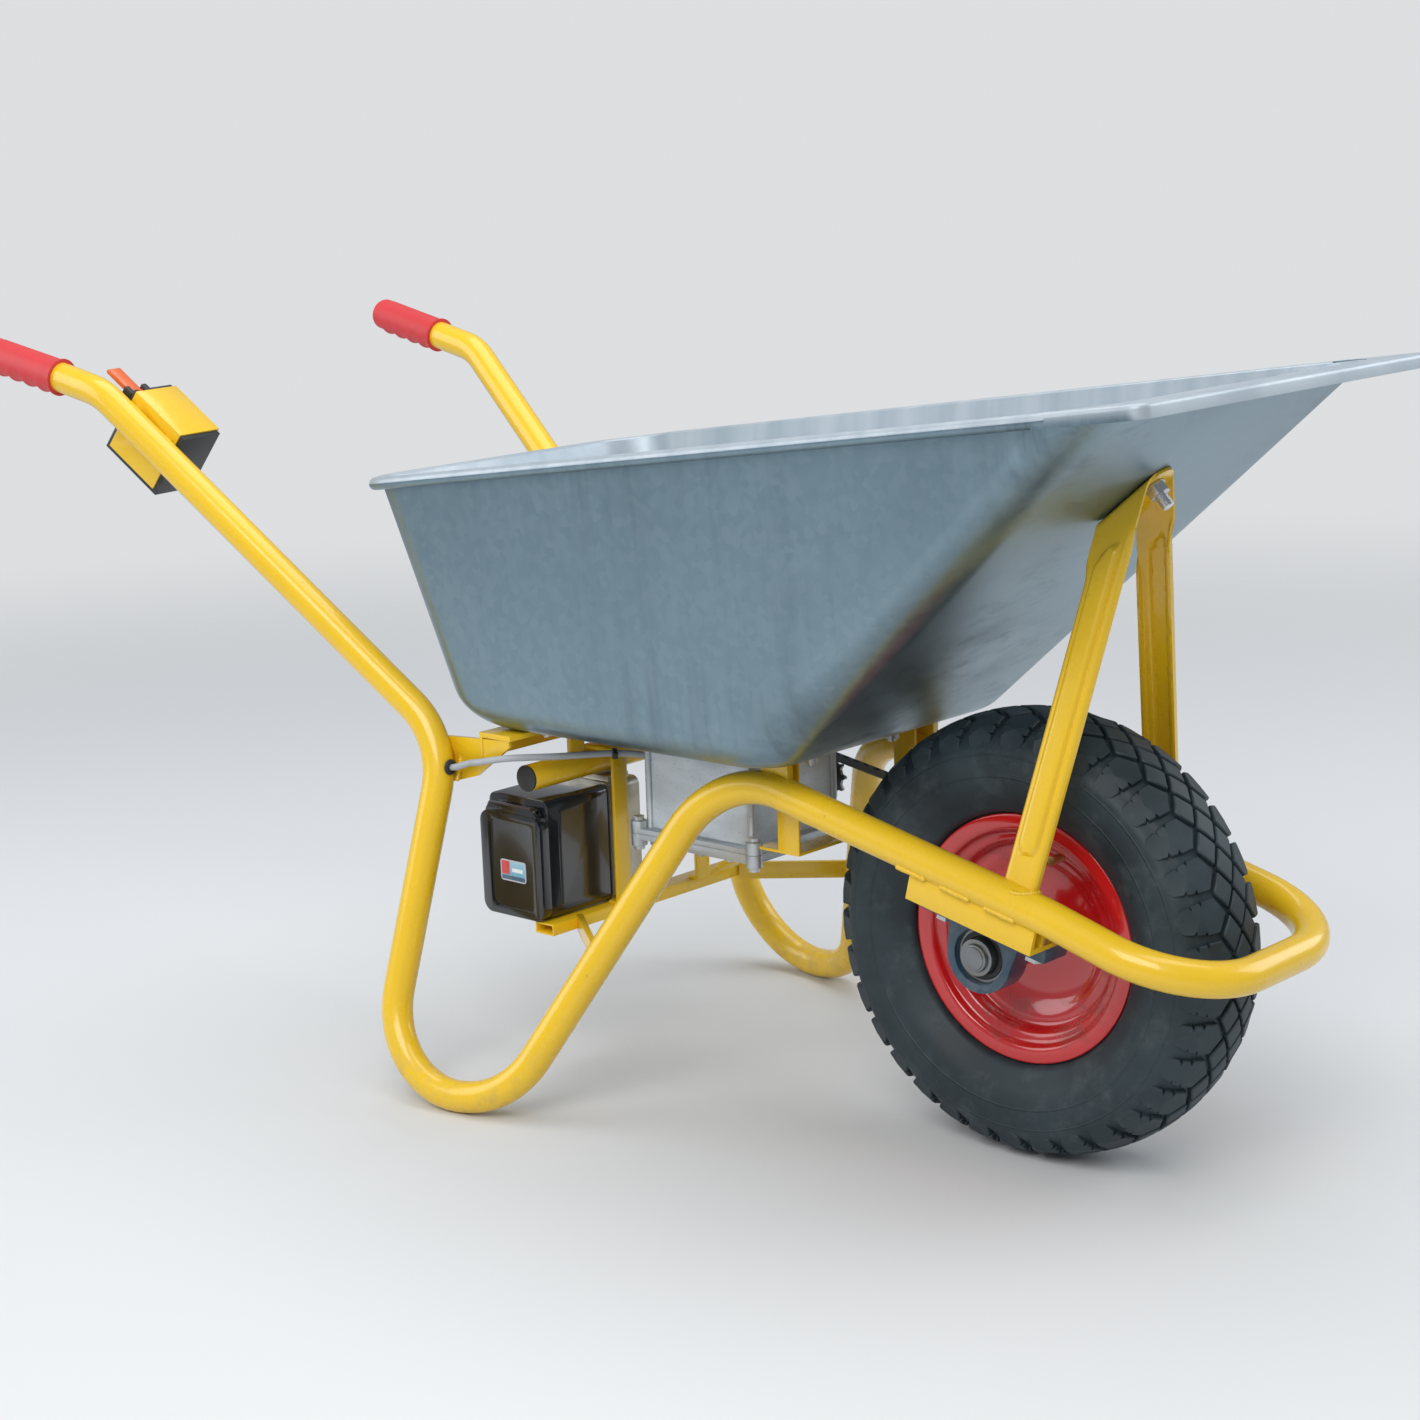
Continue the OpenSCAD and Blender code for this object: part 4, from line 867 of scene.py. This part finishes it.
rim_loop = tray_loop(LEVELS, 0)
half_loop = rim_loop[:len(rim_loop) // 2]
bead_line = []
for i in range(CORNER_N + LONG_N + 2, -1, -1):
    lean = math.pi / 2 * min(i, CORNER_N) / CORNER_N
    back = math.cos(lean) * BEAD_R if i <= CORNER_N else 0
    bead_line.append(half_loop[i] + Vector((-back, -math.sin(lean) * BEAD_R, 1.5 - BEAD_R)))
bead_line += [p * mirrored for p in reversed(bead_line)]
bead = tubes.make(line_host(to_place(bead_line)), "tray_bead_part", finishes["galvanised_tray"],
                  Radius=BEAD_R * MM, Sides=20)
front_rim = half_loop[CORNER_N + LONG_N:]
front_rim.append(Vector((front_rim[-1].x, 0, front_rim[-1].z)))
tray = joined("pressed_tray", [tray_shell(), bead, tray_lip(front_rim)])
shade(tray.data, 46)
settle(tray, "chassis", "galvanised_tray", "tray")

# ---------------------------------------------------------------- wheel
TYRE_R, HALF_W, RIM_R, RIM_H, PITCHES = 207.5, 55, 116.5, 33, 34


def turned(name, section, slot, body, replaced, segments=160, crease=40):
    """A closed section (radius, y) turned round the axle."""
    verts, faces, n = [], [], len(section)
    for s in range(segments):
        a = 2 * math.pi * s / segments
        verts += [axle + Vector((r * MM * math.sin(a), y * MM, r * MM * math.cos(a))) for r, y in section]
    for s in range(segments):
        t = (s + 1) % segments
        faces += [(s * n + i, s * n + (i + 1) % n, t * n + (i + 1) % n, t * n + i) for i in range(n)]
    made = mesh_piece(name, verts, faces)
    face_outwards(made.data)
    shade(made.data, crease)
    settle(made, body, slot, *replaced)


def rounded(points, steps=3):
    """An open section with its corners cut smooth, by Chaikin's rule."""
    for _ in range(steps):
        fresh = [points[0]]
        for p, q in zip(points, points[1:]):
            fresh += [(mix(p[0], q[0], t), mix(p[1], q[1], t)) for t in (0.25, 0.75)]
        points = fresh + [points[-1]]
    return points


# outer line of the tyre from the crown down the side: (radius, y)
crown = [(TYRE_R, 0), (TYRE_R - 0.2, 7), (TYRE_R - 1, HALF_W - 41), (TYRE_R - 3.6, HALF_W - 27),
         (TYRE_R - 8, HALF_W - 16), (TYRE_R - 13, HALF_W - 9), (186, HALF_W - 4.5), (176, HALF_W - 1.2),
         (164, HALF_W), (152, HALF_W - 0.6), (140, HALF_W - 4), (128, HALF_W - 12), (RIM_R + 2.5, RIM_H + 4),
         (RIM_R + 1, RIM_H - 4)]
crown_line = [Vector(p) for p in rounded(crown, 2)]
crown_run = [0.0]
for p, q in zip(crown_line, crown_line[1:]):
    crown_run.append(crown_run[-1] + (q - p).length)
TREAD_DEPTH, TREAD_END = 5.2, 66


def crown_at(run):
    """Point and outward way on the tyre's outer line, at a run in mm from the crown's middle."""
    run = min(abs(run), crown_run[-1] - 0.01)
    i = max(k for k, v in enumerate(crown_run) if v <= run)
    i = min(i, len(crown_line) - 2)
    way = (crown_line[i + 1] - crown_line[i]).normalized()
    return crown_line[i] + way * (run - crown_run[i]), Vector((way.y, -way.x))


def carcass_depth(run):
    """How far the tread's ground lies below the outer line."""
    return TREAD_DEPTH * eased_step((TREAD_END - run) / 16)


half_section = []
for k, run in enumerate(crown_run):
    point, out = crown_at(run)
    half_section.append(point - out * carcass_depth(run))
hidden = [(110, 31), (104, 28), (102, 21), (100, 16), (110, 20), (124, 34), (140, HALF_W - 12),
          (162, HALF_W - 7.5), (180, HALF_W - 12), (TYRE_R - 18, HALF_W - 24), (TYRE_R - 12, 8)]
tyre_half = [(p.x, p.y) for p in half_section] + hidden
turned("tyre_carcass", tyre_half + [(r, -y) for r, y in reversed(tyre_half) if y > 0],
       "tyre", "wheel", ["tyre"], 136, 60)


def tread_block(outline, verts, faces, side=1, sink=TREAD_DEPTH + 1.2, edge=1.1):
    """One block of the tread from its outline in (share of a pitch, run from the crown)."""
    step = 2 * math.pi / PITCHES
    fine = []
    for a, b in zip(outline, outline[1:] + outline[:1]):
        cuts = max(1, round(abs(b[1] - a[1]) / 7))
        fine += [(mix(a[0], b[0], k / cuts), mix(a[1], b[1], k / cuts)) for k in range(cuts)]
    heart = (sum(p[0] for p in fine) / len(fine), sum(p[1] for p in fine) / len(fine))

    def spot(share, run, height):
        point, out = crown_at(run)
        point = point + out * height
        angle = share * step
        y = point.y * (1 if run >= 0 else -1) * side
        return Vector((point.x * MM * math.sin(angle), y * MM, point.x * MM * math.cos(angle)))

    base, n = len(verts), len(fine)
    pitch_mm = step * TYRE_R
    for shrink, height in ((-0.4, -sink), (0, -edge), (edge, 0)):
        for share, run in fine:
            away = Vector(((share - heart[0]) * pitch_mm, run - heart[1]))
            pull = shrink / max(away.length, 1)
            verts.append(spot(share - (share - heart[0]) * pull, run - (run - heart[1]) * pull, height))
    verts.append(spot(*heart, 0.15))
    for k in range(2):
        for i in range(n):
            j = (i + 1) % n
            faces.append((base + k * n + i, base + k * n + j, base + (k + 1) * n + j, base + (k + 1) * n + i))
    faces += [(base + 2 * n + i, base + 2 * n + (i + 1) % n, base + 3 * n) for i in range(n)]


def tread_pitch():
    """Three interlocking diamonds across the crown and a notched shoulder block on each side."""
    verts, faces = [], []
    row, wide, tip = 13.2, 0.408, 0.04
    high = row * 0.81
    diamond = [(-wide, 0), (-tip, -high), (tip, -high), (wide, 0), (tip, high), (-tip, high)]
    for share, run in ((0.0, 0.0), (0.5, row), (0.5, -row)):
        tread_block([(share + a, run + b) for a, b in diamond], verts, faces)
    ahead = [(0.4, 27.5), (0.41, 40), (0.29, 40.8), (0.385, 43), (0.37, 50), (0.27, 50.8),
             (0.35, 53), (0.31, 62), (0.16, 66.5)]
    shoulder = [(0.0, 17.5)] + ahead + [(-share, run) for share, run in reversed(ahead)]
    for side in (1, -1):
        tread_block(shoulder, verts, faces, side)
    return verts, faces


pitch_host = mesh_piece("pitch", *tread_pitch())
face_outwards(pitch_host.data, 1e-7)
tread = rounds.make(pitch_host, "tyre_tread_blocks", finishes["tyre"], Count=PITCHES, Centre=tuple(axle))
shade(tread.data, 32)
settle(tread, "wheel", "tyre")

rim_face = rounded([
    (23.01, 0.1), (23.01, 2.6), (61, 2.6), (75, 11.5), (86, 12), (89.5, 23.6), (99, 25.2), (101, 31.5),
    (106, RIM_H), (RIM_R - 1.5, RIM_H), (RIM_R, RIM_H - 1), (RIM_R, RIM_H - 3), (RIM_R - 2, RIM_H - 1.8),
    (108, RIM_H - 1.8), (103, 30), (101, 23.4), (92, 21.8), (88, 9.5), (76, 9), (62, 0.1), (23.01, 0.1)], 2)
for label, way in (("right", -1), ("left", 1)):
    turned(f"rim_disc_{label}", [(r, way * y) for r, y in rim_face[:-1]], "rim_red", "wheel",
           ["rim_discs"] if way < 0 else [], 144, 50)


# ---------------------------------------------------------------- CAD nodes with eased edges
def eased(node, radius, name):
    """A merged copy of a CAD node whose sharp edges are rounded."""
    mesh = nodes[node].data.copy()
    work = bmesh.new()
    work.from_mesh(mesh)
    bmesh.ops.remove_doubles(work, verts=work.verts, dist=2e-5)
    bmesh.ops.dissolve_limit(work, angle_limit=math.radians(1.0), verts=work.verts, edges=work.edges)
    work.to_mesh(mesh)
    work.free()
    made = stood(name, mesh)
    if radius:
        alter(made, "BEVEL", width=radius * MM, segments=2, limit_method="ANGLE",
              angle_limit=math.radians(35), miter_outer="MITER_ARC")
        made = baked(made, name)
    shade(made.data, 40)
    settle(made, body_of_node[node], slot_of_node[node], node)


for node, radius, name in (
        ("drive_housing", 1.4, "cast_drive_housing"),
        ("housing_lid", 1.1, "cast_housing_lid"), ("battery_case", 1.2, "battery_shell"),
        ("battery_door", 1.0, "battery_front_frame"), ("battery_holder", 1.0, "plated_battery_holder"),
        ("bearing_blocks", 1.6, "cast_bearing_blocks"), ("bearing_plates", 0.8, "bearing_saddle_plates"),
        ("lower_crossbar", 0.9, "lower_cross_channel"), ("leg_braces", 0.9, "flat_leg_braces"),
        ("rear_crossmember", 0.8, "rear_cross_angle"), ("front_crossbar", 0.8, "front_cross_strip"),
        ("battery_straps", 0.8, "battery_hanger_straps"), ("housing_strap", 0.7, "housing_sling"),
        ("switch_bracket", 0.6, "folded_switch_bracket"), ("switch_housing", 1.2, "throttle_switch_shell"),
        ("throttle_lever", 0.9, "thumb_throttle"), ("housing_screws", 0.4, "housing_hex_screws"),
        ("block_bolts", 0.5, "bearing_hex_bolts"), ("strut_bolt", 0.5, "strut_hex_bolt"),
        ("tray_bolts", 0.4, "tray_hex_bolts"), ("tube_caps", 0.9, "battery_tube_caps"),
        ("battery_tube", 0.5, "battery_cross_tube"), ("axle_shaft", 0.8, "turned_axle"),
        ("bearing_inner_rings", 0.5, "bearing_inserts"), ("bearing_outer_rings", 0.4, "bearing_races"),
        ("bearing_seals", 0.3, "bearing_lip_seals"), ("wheel_hub", 0.8, "wheel_hub_barrel"),
        ("grease_nipples", 0.2, "grease_nipple_caps"), ("wheel_sprocket", 0.3, "wheel_chain_ring"),
        ("motor_sprocket", 0.3, "motor_pinion"), ("cable_grommets", 0.5, "lead_grommets"),
        ("cable_tie", 0.2, "lead_tie"), ("gear_motor", 0.8, "gear_motor_can"),
        ("battery_label", 0, "plain_label"), ("drive_chain", 0.2, "chain_side_plates"),
        ("tube_valve", 0.3, "tyre_valve")):
    eased(node, radius, name)

# ---------------------------------------------------------------- front strut
BOLT_X, STRUT_X, STRUT_IN, STRUT_SHEET, STRUT_LIP, RIB_HALF, RIB_RISE = 104.5, 54, 3, 3, 6.5, 9.8, 4
face_out = Vector((math.sin(front_slope), 0, -math.cos(front_slope)))
face_up = Vector((math.cos(front_slope), 0, math.sin(front_slope)))
bolt_foot = Vector((BOLT_X, 0, FLOOR_Z + (BOLT_X - FLOOR_FRONT) * math.tan(front_slope)
                    + SHEET / math.cos(front_slope)))


def strut_line(u, lip):
    """One line of the strut's sheet, from the right foot over the top plate to the middle plane."""
    foot = Vector((STRUT_X, STRUT_IN - RAIL_Y, 280))
    way = (bolt_foot + Vector((-11.5, -24.5, -10.4)) - foot - Vector((0, 0, 9))).normalized()
    across = (Vector((1, 0, 0)) - way * way.x).normalized()
    out = across.cross(way)
    out = out if out.y < 0 else -out
    plate = bolt_foot + face_out * (SHEET + 0.2 + STRUT_SHEET / 2)

    def run_to_plate(p):
        return (plate - p).dot(face_out) / way.dot(face_out)

    flat = foot + across * u + out * 0.5
    length = run_to_plate(flat)
    points = []
    count = 92
    for k in range(count + 1):
        run = (length - 7) * k / count
        lip_share = 1 - eased_step((run - length + 62) / 30)
        spread = math.copysign(lip * (1 - lip_share) * 0.45, u)
        q = math.hypot(u, max(0.0, run - length + 50, 42 - run))
        rise = RIB_RISE * eased_step((RIB_HALF - q) / 2.8)
        points.append(flat + way * run + across * spread + out * (rise - lip * lip_share))
    edge = flat + across * math.copysign(lip * 0.45, u)
    corner = edge + way * run_to_plate(edge)
    share = (u + 15.6) / 31.2
    middle_up = mix(-41, 21, share)
    corner_up = (corner - plate).dot(face_up)

    def on_plate(w):
        up = mix(corner_up, middle_up, math.sin(w * math.pi / 2))
        spot = plate + face_up * up
        return Vector((spot.x, corner.y * (1 - w), spot.z))

    first, second = points[-1], on_plate(7 / abs(corner.y))
    for k in range(1, 6):
        t = k / 6
        points.append(first * (1 - t) ** 2 + corner * (2 * t * (1 - t)) + second * t * t)
    points += [on_plate(mix(7 / abs(corner.y), 1, k / 10)) for k in range(11)]
    return points


def pressed_strut():
    """Sheet strut: two legs with turned edges and a pressed rib, bent from one plate under the bolt."""
    cuts = [(-15.6, STRUT_LIP), (-15.6, 3.6), (-15.1, 1.4), (-14, 0.3), (-12.6, 0), (-11, 0)]
    cuts += [(-9.8 + 0.7 * k, 0) for k in range(5)] + [(-5, 0), (-2.5, 0)]
    cuts += [(0, 0)] + [(-u, lip) for u, lip in reversed(cuts)]
    lines = [strut_line(u, lip) for u, lip in cuts]
    lines = [line + [p * mirrored for p in reversed(line[:-1])] for line in lines]
    n = len(lines[0])
    made = mesh_piece("strut_sheet", to_place(p for line in lines for p in line), bands(len(lines), n))
    face_outwards(made.data)
    alter(made, "SOLIDIFY", thickness=(STRUT_SHEET - 0.4) * MM, offset=0)
    alter(made, "BEVEL", width=0.7 * MM, segments=2, limit_method="ANGLE", angle_limit=math.radians(50))
    made = baked(made, "pressed_front_strut")
    shade(made.data, 44)
    settle(made, "chassis", "frame_paint", "front_strut")


pressed_strut()

# ---------------------------------------------------------------- welds, threads and chain rollers
rail_way = (corners[6] - corners[5]).normalized()
rail_up = Vector((-rail_way.z, 0, rail_way.x)).normalized()


def rail_point(x):
    return corners[6] + rail_way * ((x - corners[6].x) / rail_way.x)


weld_parts = []


def lay_weld(points, radius=2.6):
    for side in (1, -1):
        line = [at(p.x, p.y * side, p.z) for p in points]
        weld_parts.append(welds.make(line_host(line), "weld_part", weld_finish, Radius=radius * MM,
                                     Spacing=radius * 0.8 * MM, Seed=len(weld_parts)))


# along the saddle plates, under the rail: three stitches on each side of the tube
STITCH = 28
for spread in (-12, 12):
    for start in (-62, -14, 34):
        under = Vector((0, spread, 0)) - rail_up * 11
        lay_weld([rail_point(start + STITCH * k / 8) + under for k in range(9)])


def on_tube_top(a):
    """A point of the strut's foot outline, laid on top of the rail."""
    aside = STRUT_IN + 13 * math.sin(a)
    rise = TUBE_R * math.cos(math.asin(min(0.95, abs(aside) / TUBE_R)))
    return rail_point(STRUT_X) + rail_way * (18 * math.cos(a)) + Vector((0, aside, 0)) + rail_up * rise


lay_weld([on_tube_top(math.radians(-90 + 15 * k)) for k in range(13)], 2.2)
# up the knees, beside the rear crossmember
knee_heights = [mix(312, 346, k / 6) for k in range(7)]
lay_weld([Vector((-573, 12 - KNEE_Y - (350 - z) * 0.32, z)) for z in knee_heights])
weld_beads = joined("frame_weld_beads", weld_parts)
weld_beads.data.materials.append(weld_finish.material)
settle(weld_beads, "chassis", "frame_paint")

BOLT_PITCH, BLOCK_Y = 98, 84
rail_tilt = math.atan2(-rail_way.z, rail_way.x)


def thread(ends, wire):
    """Thread crests of a 10 mm bolt between two points."""
    return rings.make(line_host(to_place(ends)), "thread_part", finishes["zinc"],
                      Radius=5 * MM, Wire=wire * MM, Pitch=1.5 * MM)


def block_bolt(along, side, height):
    """A point of a bearing bolt: along the saddle plate from the axle, and up from it."""
    return Vector((along * math.cos(rail_tilt) + height * math.sin(rail_tilt), side * BLOCK_Y,
                   TYRE_R - along * math.sin(rail_tilt) + height * math.cos(rail_tilt)))


thread_parts = [thread([bolt_foot + face_out * d for d in (15, 26)], 0.45)]
for side in (1, -1):
    for along in (-BOLT_PITCH / 2, BOLT_PITCH / 2):
        thread_parts.append(thread([block_bolt(along, side, h) for h in (51, 52.6)], 0.4))
settle(joined("bolt_threads", thread_parts), "chassis", "zinc")

CHAIN_Y, WHEEL_AT, MOTOR_AT, WHEEL_PITCH_R, MOTOR_PITCH_R = (
    62.5, Vector((0, TYRE_R)), Vector((-300, 302)), 60, 22)


def chain_line():
    """The chain's pin line round the two sprockets."""
    way = MOTOR_AT - WHEEL_AT
    base = math.atan2(way.y, way.x)
    wrap = math.acos((WHEEL_PITCH_R - MOTOR_PITCH_R) / way.length)
    points = []
    for centre, r, start, turn, steps in (
            (WHEEL_AT, WHEEL_PITCH_R, base + wrap, 2 * math.pi - 2 * wrap, 40),
            (MOTOR_AT, MOTOR_PITCH_R, base - wrap, 2 * wrap, 16)):
        angles = [start + turn * i / steps for i in range(steps + 1)]
        points += [centre + Vector((math.cos(a), math.sin(a))) * r for a in angles]
    return [at(p.x, CHAIN_Y, p.y) for p in points]


chain = rollers.make(line_host(chain_line(), True), "chain_rollers", finishes["machined_steel"])
shade(chain.data, 40)
settle(chain, "chassis", "machined_steel")

# ---------------------------------------------------------------- lamps, air and floor
add_lamp("key_panel", at(900, -2600, 2600), at(-250, 0, 350), (2.4, 2.0), 75, (1, 0.98, 0.95))
add_lamp("top_panel", at(-300, 300, 3000), at(-300, 0, 400), (3.2, 2.4), 55)
add_lamp("fill_panel", at(-2600, -1800, 1500), at(-400, 0, 350), (2.2, 1.8), 26, (0.93, 0.97, 1))
add_lamp("back_panel", at(1500, 2600, 1800), at(-200, 0, 300), (2.4, 1.6), 34, (0.95, 0.98, 1))
world = bpy.data.worlds.new("studio_world")
bpy.context.scene.world = world
world.use_nodes = True
air = world.node_tree
lit = add_node(air, "ShaderNodeBackground", {}, {"Color": (0.86, 0.92, 1, 1), "Strength": 0.4})
seen = add_node(air, "ShaderNodeBackground", {}, {"Color": (0.72, 0.735, 0.75, 1), "Strength": 1.0})
ray = add_node(air, "ShaderNodeLightPath", {}, {})
both = add_node(air, "ShaderNodeMixShader", {}, {0: ray.outputs["Is Camera Ray"],
                                                 1: lit.outputs[0], 2: seen.outputs[0]})
air.links.new(both.outputs[0], air.nodes["World Output"].inputs["Surface"])

floor = mesh_piece("studio_floor", [(-9, -9, 0), (9, -9, 0), (9, 9, 0), (-9, 9, 0)], [(0, 1, 2, 3)])
floor_finish = Finish("pale_floor", (0.66, 0.67, 0.68), 0.7)
x, y = floor_finish.axis("X"), floor_finish.axis("Y")
far = ((x * x + y * y) ** 0.5).above(2.6, 1.7)
clear = floor_finish.node("ShaderNodeBsdfTransparent")
mixed = floor_finish.node("ShaderNodeMixShader", {}, {0: far, 1: floor_finish.shader.outputs[0], 2: clear})
floor_finish.tree.links.new(mixed.socket, floor_finish.tree.nodes["Material Output"].inputs["Surface"])
floor.data.materials.append(floor_finish.material)
